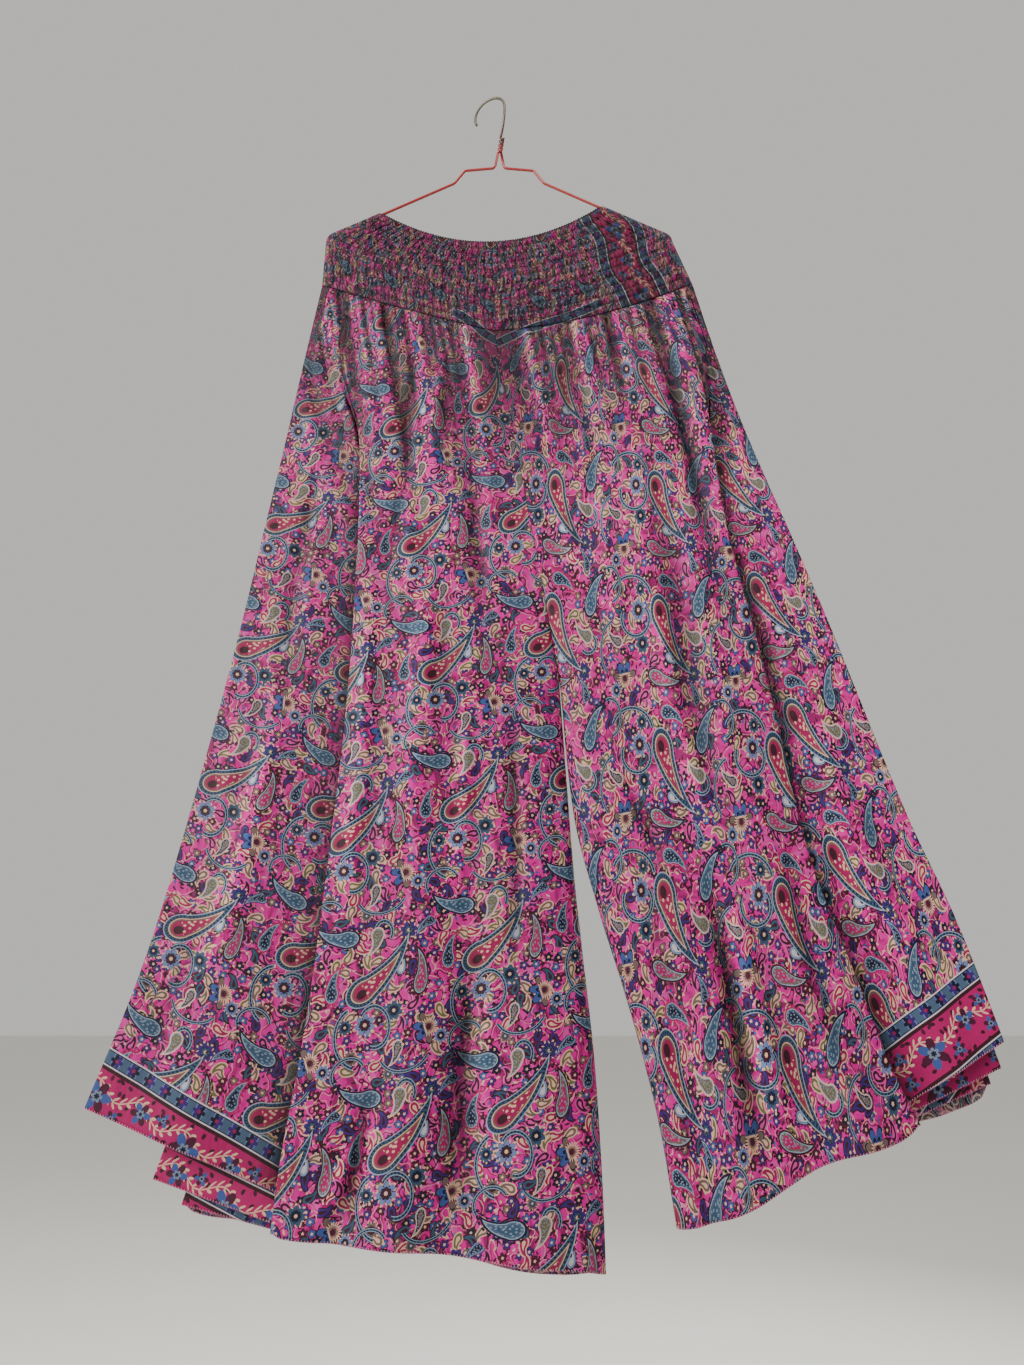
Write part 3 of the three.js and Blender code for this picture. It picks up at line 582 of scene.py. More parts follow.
# side and inseam: (z, x). fold: (t, share). The hems: (share, z).
LEGS = {
    "right": {
        "sign": -1,
        "side": [
            (-264, -191), (-374, -208), (-484, -224), (-703, -256), (-921, -296), (-1032, -322),
            (-1141, -358),
        ],
        "inseam": [(-731, 75), (-926, 87), (-1002, 94), (-1101, 103.5), (-1204, 108.5), (-1278, 110)],
        "fold": [(0, 0.82), (0.09, 0.8), (0.2, 0.69), (0.43, 0.655), (0.58, 0.64), (0.92, 0.637), (1, 0.624)],
        "lap": 52,
        "hem_front": [
            (0, -1278), (0.05, -1273), (0.15, -1269), (0.33, -1257), (0.57, -1247), (0.624, -1241),
            (1, -1141),
        ],
        "hem_outer": {"fold_z": -1209, "side_z": -1141},
        "hem_back": [
            (0, -1278), (0.07, -1284), (0.18, -1281), (0.33, -1262), (0.57, -1250), (0.69, -1238),
            (0.81, -1223), (1, -1141),
        ],
    },
    "left": {
        "sign": 1,
        "side": [(-262, 234), (-364, 259), (-466, 288), (-669, 351), (-873, 410), (-975, 446), (-1084, 477)],
        "inseam": [
            (-731, 75), (-876, 88), (-969, 111), (-1034, 130.5), (-1105, 149.5), (-1170, 163),
            (-1242, 173),
        ],
        "fold": [
            (0, 0.89), (0.125, 0.89), (0.33, 0.77), (0.45, 0.74), (0.58, 0.715), (0.72, 0.67), (0.92, 0.675),
            (1, 0.71),
        ],
        "lap": 44,
        "hem_front": [
            (0, -1242), (0.05, -1239), (0.18, -1227), (0.435, -1186), (0.64, -1168), (0.71, -1154),
            (1, -1084),
        ],
        "hem_outer": {"fold_z": -1133, "side_z": -1084},
        "hem_back": [
            (0, -1242), (0.18, -1224), (0.435, -1188), (0.7, -1162), (0.85, -1147), (0.975, -1122),
            (1, -1084),
        ],
    },
}
# Each pleat behind the outer panel: (tuck, tuck_z, edge, edge_z), in from the side and at the hem.
PLEATS = {
    "right": [(188, -1240, 65, -1201), (198, -1248, 90, -1223)],
    "left": [(98, -1148, 2, -1108), (106, -1158, 10, -1122)],
}
# Long soft folds: (at, width, height, start), as shares of the width and of the leg's length.
WAVES = {
    ("right", "front"): [
        (0.15, 0.05, 5, 0.3), (0.29, 0.05, -6, 0.35), (0.4, 0.05, 7, 0.45), (0.51, 0.04, -7, 0.78),
        (0.82, 0.07, 6, 0.2),
    ],
    ("right", "back"): [(0.2, 0.07, 4, 0.2), (0.42, 0.07, -5, 0.3), (0.62, 0.07, 4, 0.3)],
    ("left", "front"): [
        (0.1, 0.035, -7, 0.4), (0.22, 0.06, 5, 0.3), (0.4, 0.06, -5, 0.5), (0.55, 0.06, 6, 0.25),
        (0.84, 0.06, 5, 0.25),
    ],
    ("left", "back"): [(0.25, 0.08, 4, 0.2), (0.5, 0.08, -5, 0.3), (0.75, 0.07, 4, 0.3)],
}


# %% [markdown]
# A leg's surface is a set of depths over one flat outline. `share` runs from the inner edge to the
# side and `t` from the waistband to the hem. Layers of a fold are the same function a step further
# back, which keeps them apart however the cloth swings.

# %% One leg as functions
def half_depth(share):
    return lerp(HALF_DEPTH["centre"], HALF_DEPTH["side"], share**2)


class Leg:
    def __init__(self, name):
        rows = LEGS[name]
        self.name, self.sign, self.lap, self.rows = name, rows["sign"], rows["lap"], rows
        self.side_x, self.inseam_x = follow(rows["side"]), follow(rows["inseam"])
        self.fold_share = follow(rows["fold"])
        self.hem_front, self.hem_back = follow(rows["hem_front"]), follow(rows["hem_back"])
        self.side_top, self.side_end = rows["side"][0][0], rows["side"][-1][0]
        self.inseam_end = rows["inseam"][-1][0]

    def inner_edge(self, t):
        """The centre seam down to the crotch, then the inseam."""
        above = t / CROTCH["share"]
        below_z = lerp(CROTCH["z"], self.inseam_end, (t - CROTCH["share"]) / (1 - CROTCH["share"]))
        over = t <= CROTCH["share"]
        x = np.where(over, lerp(BAND["seam"][0], CROTCH["x"], above), self.inseam_x(below_z))
        z = np.where(over, lerp(BAND["seam"][1], CROTCH["z"], above), below_z)
        return x, z

    def side_edge(self, t):
        z = lerp(self.side_top, self.side_end, t)
        return self.side_x(z), z

    def width(self, t):
        return np.abs(self.side_edge(t)[0] - self.inner_edge(t)[0])

    def hem_outer(self, share):
        last = self.rows["fold"][-1][1]
        hem = self.rows["hem_outer"]
        return lerp(hem["side_z"], hem["fold_z"], (1 - share) / (1 - last))

    def plane(self, share, t, hem_z):
        """x and z of a point, on a layer whose hem there is at height hem_z."""
        inner_x, inner_z = self.inner_edge(t)
        side_x, side_z = self.side_edge(t)
        sag = BAND["seam_sag"][self.name] * (1 - t) * hump(share)
        straight = lerp(self.inseam_end, self.side_end, share)
        z = lerp(inner_z, side_z, share) - sag + (hem_z - straight) * t**2
        return lerp(inner_x, side_x, share), z

    def wave(self, part, share, t):
        return sum(
            height * np.exp(-(((share - at) / width) ** 2)) * ramp(t, start, 1)
            for at, width, height, start in WAVES[self.name, part]
        )

    def fold_lap(self, t):
        return lerp(-LEG["fold_closed"], self.lap, ramp(t, 0.07, 0.55))

    def fold_tuck(self, t):
        return self.fold_share(t) - self.fold_lap(t) / self.width(t)

    def pleat_open(self, t):
        return ramp(t, LEG["pleat_opens"], LEG["pleat_open"])

    def smooth_front_y(self, share, t):
        return -half_depth(share) - LEG["forward"] * ease(t)

    def front_y(self, share, t, layer=0):
        """Depth of the centre front (0), the hidden layer of the fold (1) or the outer panel (2)."""
        lying = 2 - layer if layer else 2 * ramp(share, 0.1, self.fold_share(t) - 0.15)
        opened = lying * LEG["fold_step"] * ramp(t, 0.02, 0.15)
        return self.smooth_front_y(share, t) - self.wave("front", share, t) - opened

    def back_y(self, share, t):
        return half_depth(share) + LEG["backward"] * ease(t) + self.wave("back", share, t)

    def pleat_y(self, share, t, layer):
        opened = ramp(t, LEG["pleat_opens"] - 0.1, LEG["pleat_opens"] + 0.08)
        stacked = self.smooth_front_y(share, t) + layer * LEG["pleat_step"]
        return lerp(self.back_y(share, t), stacked, opened)

    def middle_y(self, t):
        return (self.front_y(0 * t, t) + self.back_y(0 * t, t)) / 2


# %% [markdown]
# The grid's columns run along the cloth: over the centre front, round the edge of the fold, back
# under it, out over the outer panel and round the side. Each function below returns a few columns,
# and a column is a function that gives the whole line from the waistband to the hem.

# %% Columns of a leg
COLUMNS = {
    "inner": 8,
    "centre": 72,
    "fold": 8,
    "between": 5,
    "outer": 34,
    "side": 5,
    "back": 72,
    "pleat": 14,
}
SIDE_TURN = 8  # how far from the side the turn round it starts


def inner_start(t):
    """The share at which the rounding at the inner edge ends."""
    return LEG["inner_turn"] + 0 * t


def inner_columns(leg, depth, hem, back):
    """The rounding at the inner edge. Above the crotch it is flat."""

    def column(degrees):
        angle = math.radians(degrees)
        share = LEG["inner_turn"] * (1 - math.cos(angle))

        def line(t):
            x, z = leg.plane(share, t, hem(share))
            outside, middle = depth(share + 0 * t, t), leg.middle_y(t)
            rounded = lerp(middle, outside, math.sin(angle))
            y = lerp(outside, rounded, ramp(t, CROTCH["share"] - 0.14, CROTCH["share"]))
            if degrees == 0:
                below = t > CROTCH["share"] - 1e-6
                y = np.where(below, middle + (1 if back else -1) * SEAM_GAP, y)
                gap = lerp(SEAM_GAP, LEG["inner_gap"], ramp(t, CROTCH["share"], CROTCH["share"] + 0.02))
                x = x + leg.sign * gap
            return x, y, z

        return line

    return [column(degrees) for degrees in steps(0, 90, COLUMNS["inner"])]


def turn_columns(leg, edge, out, order, lap, closed, before, after, hem):
    """A turn of the cloth from one layer to the next, round where the cloth doubles back."""

    def column(degrees):
        angle = math.radians(degrees)

        def line(t):
            share = edge(t)
            radius = np.abs(after(share, t) - before(share, t)) / 2
            rounding = -out * radius * (1 - math.cos(angle)) * ramp(lap(t), 0, 12)
            spreading = order * math.sin(angle) * closed / 4 * (1 - ramp(lap(t), -closed, 0))
            there = share + (rounding + spreading) / leg.width(t)
            x, z = leg.plane(there, t, hem(share))
            return x, lerp(before(there, t), after(there, t), (1 + math.sin(angle)) / 2), z

        return line

    return [column(degrees) for degrees in steps(-90, 90, COLUMNS["fold"])]


def between_columns(leg, start, end, count, hem, depth):
    """Even columns of one layer, between the shares start(t) and end(t)."""

    def column(f):
        def line(t):
            share = lerp(start(t), end(t), f)
            x, z = leg.plane(share, t, hem(share))
            return x, depth(share, t), z

        return line

    return [column(f) for f in steps(0, 1, count + 1)[1:-1]]


def side_columns(leg, back):
    """Half of the turn at the side: the front's half or the back's."""

    def column(degrees):
        angle = math.radians(degrees)

        def line(t):
            front, behind = leg.front_y(1 + 0 * t, t, 2), leg.pleat_y(1 + 0 * t, t, 1)
            radius = (behind - front) / 2
            share = 1 - radius * (1 - math.cos(angle)) / leg.width(t)
            x, z = leg.plane(share, t, leg.hem_outer(share))
            y = (front + behind) / 2 + radius * math.sin(angle)
            if degrees == 0:
                y = y + (1 if back else -1) * SEAM_GAP / 2
            return x, y, z

        return line

    first = 0 if back else -90
    return [column(degrees) for degrees in steps(first, first + 90, COLUMNS["side"])]


# %% The columns of a front
def front_columns(leg):
    """Columns of a front, and the name of the stretch of cloth that each belongs to."""
    half_closed = LEG["fold_closed"] / 2
    over, under, outer = [lambda share, t, n=n: leg.front_y(share, t, n) for n in range(3)]
    hem, outer_hem = leg.hem_front, leg.hem_outer
    shared = {"order": 1, "lap": leg.fold_lap, "closed": LEG["fold_closed"]}
    centre_end = lambda t: leg.fold_share(t) - half_closed / leg.width(t)
    tuck_end = lambda t: leg.fold_tuck(t) + half_closed / leg.width(t)
    side_start = lambda t: 1 - SIDE_TURN / leg.width(t)
    hidden = [
        lambda t: leg.fold_share(t) - (half_closed / 2) * np.sign(leg.fold_lap(t)) / leg.width(t),
        lambda t: leg.fold_tuck(t) + (half_closed / 2) * np.sign(leg.fold_lap(t)) / leg.width(t),
    ]
    stretches = [
        ("centre", inner_columns(leg, over, hem, False)),
        ("centre", between_columns(leg, inner_start, centre_end, COLUMNS["centre"], hem, over)),
        ("centre", turn_columns(leg, leg.fold_share, 1, before=over, after=under, hem=hem, **shared)),
        ("hidden", between_columns(leg, *hidden, COLUMNS["between"], hem, under)),
        ("outer", turn_columns(leg, leg.fold_tuck, -1, before=under, after=outer, hem=outer_hem, **shared)),
        ("outer", between_columns(leg, tuck_end, side_start, COLUMNS["outer"], outer_hem, outer)),
        ("outer", side_columns(leg, False)),
    ]
    return [(name, line) for name, lines in stretches for line in lines]


# %% The columns of a back
def back_columns(leg):
    pleats, closed = PLEATS[leg.name], LEG["pleat_closed"]
    reach = closed * 0.4
    layer = lambda n: lambda share, t: leg.pleat_y(share, t, n)
    level = lambda z: lambda share: z + 0 * share
    inset = lambda at_hem, k: lambda t: lerp(closed * (k + 1), at_hem, leg.pleat_open(t))
    place = lambda at_hem, k: lambda t: 1 - inset(at_hem, k)(t) / leg.width(t)

    def hem_in_front(n):
        if n == 0:
            return leg.hem_outer
        tuck, tuck_z, edge, edge_z = pleats[n - 1]
        return lambda share: lerp(edge_z, tuck_z, ((1 - share) * leg.width(1.0) - edge) / (tuck - edge))

    stretches = [("side", side_columns(leg, True))]
    for n, (tuck, tuck_z, edge, edge_z) in enumerate(pleats):
        k = 2 * n
        tuck_at, edge_at = place(tuck, k), place(edge, k + 1)
        start = place(pleats[n - 1][2], k - 1) if n else lambda t: 1 + 0 * t
        lap = lambda t, tuck=tuck, edge=edge, k=k: inset(tuck, k)(t) - inset(edge, k + 1)(t)
        shared = {"order": -1, "lap": lap, "closed": closed}
        on_start = lambda t, start=start: start(t) - reach / leg.width(t)
        on_end = lambda t, tuck_at=tuck_at: tuck_at(t) + reach / leg.width(t)
        way_hem = lambda share, n=n: hem_in_front(n)(share) + LEG["hidden_hem_lift"]
        first, second, third = layer(k + 1), layer(k + 2), layer(k + 3)
        way = between_columns(leg, on_start, on_end, COLUMNS["pleat"], way_hem, first)
        turn_in = turn_columns(leg, tuck_at, -1, before=first, after=second, hem=level(tuck_z), **shared)
        turn_out = turn_columns(leg, edge_at, 1, before=second, after=third, hem=level(edge_z), **shared)
        stretches += [(f"way{n}", way), (f"pleat{n}", turn_in), (f"pleat{n}", turn_out)]
    last_edge = place(pleats[-1][2], 2 * len(pleats) - 1)
    last_layer = layer(2 * len(pleats) + 1)
    centre_start = lambda t: last_edge(t) - closed / 2 / leg.width(t)

    def settled_y(share, t):
        return lerp(last_layer(share, t), leg.back_y(share, t), ease((last_edge(t) - share) / 0.25))

    stretches += [
        ("centre", between_columns(leg, centre_start, inner_start, COLUMNS["back"], leg.hem_back, settled_y)),
        ("centre", inner_columns(leg, leg.back_y, leg.hem_back, True)[::-1]),
    ]
    return [(name, line) for name, lines in stretches for line in lines]


# %% [markdown]
# Rows are closer together near the waistband, where the gathers are fine, and near the hem.

# %% A leg's grid
LEG_ROWS = 176
ROW_T = ease(steps(0, 1, LEG_ROWS)) * 0.35 + steps(0, 1, LEG_ROWS) * 0.65
# Below the waistband the gathers take up cloth, and they let it go over this height.
EASE_HEIGHT = 70


def way_along(grid):
    """How far along the cloth each point lies from the first column."""
    step = np.hypot(np.diff(grid[..., 0], axis=1), np.diff(grid[..., 1], axis=1))
    return np.concatenate([np.zeros((len(grid), 1)), np.cumsum(step, axis=1)], axis=1)


def leg_grid(columns):
    lines = [np.stack(np.broadcast_arrays(*line(ROW_T)), -1) for _, line in columns]
    return np.stack(lines, axis=1)


def leg_places(grid, names, leg, back):
    """Where each point lies on the printed cloth: its height, and its way along the cloth."""
    along = way_along(grid) * (-leg.sign if back else leg.sign)
    places = np.empty(grid.shape[:2] + (2,))
    for name in dict.fromkeys(names):
        chosen = np.flatnonzero([n == name for n in names])
        middle = chosen[len(chosen) // 2]
        x = grid[:, middle, 0:1] + along[:, chosen] - along[:, middle : middle + 1]
        turn, shift = GRAIN[leg.name].get(name, GRAIN[leg.name]["centre"])
        below = grid[:1, chosen, 2] - grid[:, chosen, 2]
        eased = 1 + (GATHER_RATIO - 1) * 0.7 * np.exp(-below / EASE_HEIGHT)
        middle_x = leg.sign * 100 * (-1 if back else 1)
        x = middle_x + (x - middle_x) * eased
        places[:, chosen] = on_the_grain(x, grid[:, chosen, 2], -turn if back else turn, shift)
    return places


# %% [markdown]
# Hanging silk is never plain. Below the waistband the cloth is still gathered, and the gathers die
# out downwards at different lengths. Lower down there are a few soft creases, listed one by one.

# %% Gathers and creases of the legs
# (pitch, height, how far down it reaches)
TOP_GATHERS = [(5.4, 1.0, 60), (10.5, 1.8, 130), (26, 2.6, 300), (61, 2.8, 620)]
# (start x, z, end x, z, width, height towards the viewer, sideways bow)
CREASES = {
    ("right", "front"): [
        (-112, -1150, -146, -1240, 7, 3.5, 6),
        (-96, -1120, -118, -1235, 9, -3, -5),
        (26, -740, 30, -1040, 8, -2.6, 4),
        (-52, -600, -70, -905, 12, 2.6, -6),
        (-20, -480, -8, -700, 9, -2, 5),
        (60, -900, 78, -1190, 10, 3, 6),
        (-8, -1000, -16, -1240, 11, -3.4, -6),
        (-210, -760, -262, -1040, 12, 2.4, 8),
        (-262, -980, -312, -1130, 9, -2.6, -6),
        (-84, -330, -104, -640, 8, -2.4, 7),
        (-50, -345, -58, -560, 7, 2.2, -5),
        (6, -350, 14, -610, 7, -2.4, 4),
        (44, -380, 62, -690, 8, 2.2, -6),
        (-120, -640, -134, -1000, 9, 2.4, 5),
        (-20, -760, -34, -985, 8, 2.2, 6),
        (-176, -480, -206, -760, 9, -2.2, -7),
        (-232, -700, -280, -930, 9, 2.2, 6),
    ],
    ("left", "front"): [
        (150, -330, 178, -590, 8, 2.2, -5),
        (196, -360, 236, -650, 9, -2.2, 6),
        (90, -400, 104, -560, 7, 2.0, 4),
        (168, -620, 226, -940, 9, 2.2, -6),
        (250, -560, 306, -840, 9, -2.4, 7),
        (286, -900, 330, -1120, 9, -2.4, -6),
        (148, -960, 186, -1180, 8, -2.2, 5),
        (66, -531, 99, -618, 8, 4, -5),
        (56, -560, 82, -660, 7, -3, -4),
        (105, -834, 169, -1140, 9, 3.6, 8),
        (92, -800, 132, -1010, 8, -3, 5),
        (135, -837, 171, -936, 7, -2.8, 4),
        (212, -940, 243, -1187, 11, -4.4, 6),
        (236, -960, 272, -1165, 11, 3.6, -6),
        (120, -470, 138, -720, 11, 2.2, -6),
        (180, -520, 214, -840, 13, -2.4, 7),
        (330, -780, 384, -1010, 12, 2.6, -7),
    ],
    ("right", "back"): [
        (-60, -560, -84, -900, 13, 3, 7),
        (20, -760, 34, -1100, 11, -3, -6),
        (-150, -820, -196, -1180, 13, 3.2, 8),
        (-40, -1000, -60, -1240, 10, -3, 5),
    ],
    ("left", "back"): [
        (110, -560, 140, -860, 12, 3, -7),
        (170, -780, 206, -1140, 12, -3, 7),
        (250, -820, 300, -1100, 13, 3.2, -8),
        (60, -500, 92, -640, 9, 3, 5),
    ],
}
CREASE_HEIGHT = 1.5  # every height above is multiplied by this
TROUGH = {"beside": 1.6, "depth": 0.4}  # the trough beside each ridge, as shares of its width and height
GATHER = {"swing": 1.6, "middle": 0.8, "uneven_length": 0.45, "start": 5}
SOFT_COLUMNS = 9


def crease_relief(grid, part):
    total = np.zeros(grid.shape[:2])
    for x0, z0, x1, z1, width, height, bow in CREASES[part]:
        line = strip_line(grid, (x0, z0), (x1, z1))
        share = line[..., 0] / math.dist((x0, z0), (x1, z1))
        bowed = line[..., 1] - bow * np.sin(math.pi * np.clip(share, 0, 1))
        off = bowed / (width * (0.75 + 0.5 * share))
        fade = ramp(share, -0.08, 0.35) * ramp(share, 1.12, 0.6)
        # A soft ridge with a shallower trough beside it.
        profile = np.exp(-(off**2)) - TROUGH["depth"] * np.exp(-((off - TROUGH["beside"]) ** 2))
        total += CREASE_HEIGHT * height * fade * profile
    return total


def gather_relief(along, below, seed):
    total = np.zeros_like(along)
    for n, (pitch, height, reach) in enumerate(TOP_GATHERS):
        phase = along / pitch + 0.5 * drift(along / (3.1 * pitch), seed + n)
        length = reach * (1 + GATHER["uneven_length"] * drift(along / (1.7 * pitch), seed - n))
        wave = np.abs(np.sin(math.pi * phase)) * GATHER["swing"] - GATHER["middle"]
        total += height * wave * ramp(below, length, 0) * ramp(below, 0, GATHER["start"])
    return total


def leg_relief(grid, names, leg, back):
    """How far the cloth stands out of its plain form, fading out in the turns and at the seams."""
    below = grid[:1, :, 2] - grid[..., 2]
    relief = gather_relief(way_along(grid), below, seed=2.7 if back else 5.1)
    relief += crease_relief(grid, (leg.name, "back" if back else "front"))
    shown = np.isin(names, ["centre"] if back else ["centre", "outer"]).astype(float)
    # A few columns' distance from every turn, so that relief comes in softly.
    kernel = np.ones(SOFT_COLUMNS) / SOFT_COLUMNS
    soft = np.convolve(np.pad(shown, SOFT_COLUMNS // 2, mode="edge"), kernel, "valid") ** 2
    edges = np.minimum(np.arange(len(names)), np.arange(len(names))[::-1])
    return relief * soft * ramp(edges, COLUMNS["inner"] - 3, COLUMNS["inner"] + 6)


# %% [markdown]
# The panels were cut on different grains, so the print leans one way on the right leg and lies
# nearly on its side on the left leg. The cloth is also eased into small upright folds, which makes
# the print look a little narrower than it was printed.

# %% The grain of each panel
# Each stretch of cloth: (how far the print is turned, where it starts along the cloth and up it).
GRAIN = {
    "right": {"centre": (13, (68, -12)), "hidden": (13, (68, -12)), "outer": (-10.6, (30, 40)),
              "side": (-10.6, (30, 40)), "pleat0": (20, (15, 70)), "pleat1": (-30, (50, 20))},
    "left": {"centre": (-92, (38, 30)), "hidden": (-92, (38, 30)), "outer": (-76, (0, 84)),
             "side": (-76, (0, 84)), "pleat0": (-60, (15, 20)), "pleat1": (40, (80, 10))},
}
EASED = 1.136


def on_the_grain(x, z, turn, shift):
    a, b = x * EASED, z / EASED
    c, s = math.cos(math.radians(turn)), math.sin(math.radians(turn))
    return np.stack([(a * c + b * s) / EASED + shift[0], (b * c - a * s) * EASED + shift[1]], -1)


# %% [markdown]
# The border shows in the corners of the hems, where the outer panels were cut from the edge of the
# printed cloth, and in a ribbon that makes a chevron below the front of the waistband.

# %% Where the border lies
# (stretch of cloth, start and end of the border's middle line), in x and z.
HEM_BORDERS = {
    "right": [
        ("outer", (-362.6, -1120.7), (-193.4, -1209.3)),
        ("pleat0", (-330, -1176), (-160, -1250)),
        ("pleat1", (-300, -1222), (-150, -1292)),
    ],
    "left": [
        ("outer", (393.2, -1102.8), (476.6, -1047)),
        ("pleat0", (398, -1134), (488, -1068)),
        ("pleat1", (455, -1140), (494, -1095)),
    ],
}


def leg_strips(grid, names, leg, back):
    strips = np.full(grid.shape[:2] + (2,), NO_STRIP)
    for stretch, start, end in HEM_BORDERS[leg.name]:
        chosen = np.flatnonzero(np.array(names) == stretch)
        strips[:, chosen] = strip_line(grid[:, chosen], start, end)
    if not back:
        chevron, holds = chevron_places(grid, leg.name)
        strips = np.where(holds[..., None], chevron, strips)
    return strips


# %% [markdown]
# The bottoms of gathers and creases, the top of each leg under the waistband, and the cloth close
# under the edge of the long fold get painted shade: they are darker than the lights alone make them,
# because a real fold is deeper and narrower than the grid's. The ridges of gathers get painted light,
# and each panel is painted lighter or darker as a whole, for how the light falls on it. The shade is
# worked out from the same relief that lifts the cloth, so it always lies in its troughs.

# %% The shade of the legs
# Painted light and shade: how light each leg's centre and outer panel are painted, for how the light falls on
# them, and how strong the painted shadow under the edge of the long fold is.
PANEL_SHADE = {"right": 1.02, "left": 1.04}
OUTER_SHADE = {"right": 0.95, "left": 1.24}
FOLD_SHADOW = {"right": 0.8, "left": 0.6}
# Painted shade. reach: how far down the gathers darken. relief: shade for each millimetre, low down and at
# the top.
SHADE = {"reach": 260, "at_top": 0.82, "relief": (0.15, 0.22), "fold_reach": 15, "limits": (0.22, 1.4)}


def leg_shade(grid, names, relief, leg, back):
    """Painted shade and light: darker between gathers and at the top, lighter on their ridges, and darker on
    the outer panel close under the edge of the long fold.
    """
    near_top = ramp(grid[:1, :, 2] - grid[..., 2], SHADE["reach"], 0)
    plain = PANEL_SHADE[leg.name] - SHADE["at_top"] * near_top
    shade = plain + relief * lerp(*SHADE["relief"], near_top)
    if not back:
        fold = leg.fold_share(ROW_T)
        fold_x = leg.plane(fold, ROW_T, leg.hem_front(fold))[0][:, None]
        away = np.maximum((grid[..., 0] - fold_x) * leg.sign, 0)
        opened = ramp(ROW_T, 0.03, 0.14)[:, None]
        shadow = FOLD_SHADOW[leg.name] * opened * np.exp(-away / SHADE["fold_reach"])
        outer = np.isin(names, ["outer", "hidden"])
        shade = np.where(outer, shade * OUTER_SHADE[leg.name] * (1 - shadow), shade)
    return np.clip(shade, *SHADE["limits"])


# %% The four pieces of the legs
def leg_piece(leg, back):
    columns = back_columns(leg) if back else front_columns(leg)
    names = [name for name, _ in columns]
    grid = leg_grid(columns)
    prints = leg_places(grid, names, leg, back)
    relief = leg_relief(grid, names, leg, back)
    grid[..., 1] += relief if back else -relief
    strips = leg_strips(grid, names, leg, back)
    name = f"{leg.name}_leg_{'back' if back else 'front'}_silk"
    shade = leg_shade(grid, names, relief, leg, back)
    return cloth_piece(name, grid, -leg.sign, prints, strips, shade)


legs = {}
for name in ("right", "left"):
    for part in ("front", "back"):
        legs[name, part] = leg_piece(Leg(name), part == "back")

# %% [markdown]
# ## Drawing with shader nodes
#
# A print is flat colour with crisp edges, so it can be drawn by formulas: a shape is where some
# measure is above zero. `Drawing` adds one node for each step of a formula and keeps the code about
# as short as the formula. A value can be a number, a tuple, a colour name or another node's output.

# %% A helper for shader nodes
INK = {
    "pink": "#DA3DA2", "streak": "#93126C", "blush": "#DE7FB4", "teal": "#4A5B70", "navy": "#121A33",
    "pale": "#A8B4C4", "taupe": "#7A6A66", "cream": "#F0CDBA", "crimson": "#9C1A62",
    "maroon": "#3C0A2A", "violet": "#4A3C72", "blue": "#5B6898", "magenta": "#AE1272", "grey": "#8C95A6",
    "slate": "#5C6A7E", "iris": "#868FB2", "plum": "#4C0E38", "white": "#E6E0E6", "olive": "#75705A",
    "coating": "#B02438", "neck": "#5A1420", "steel": "#8C867C",
}
# Bright light washes colours out, so the inks start stronger and deeper.
STRONGER, DEEPER = 1.5, 0.345


def ink(name):
    """A named ink as the linear colour that shaders work in."""
    code = INK[name].lstrip("#")
    channels = [int(code[i : i + 2], 16) / 255 for i in (0, 2, 4)]
    linear = [c / 12.92 if c <= 0.04045 else ((c + 0.055) / 1.055) ** 2.4 for c in channels]
    grey = sum(linear) / 3
    return (*[max(0.004, (grey + (c - grey) * STRONGER) * DEEPER) for c in linear], 1.0)


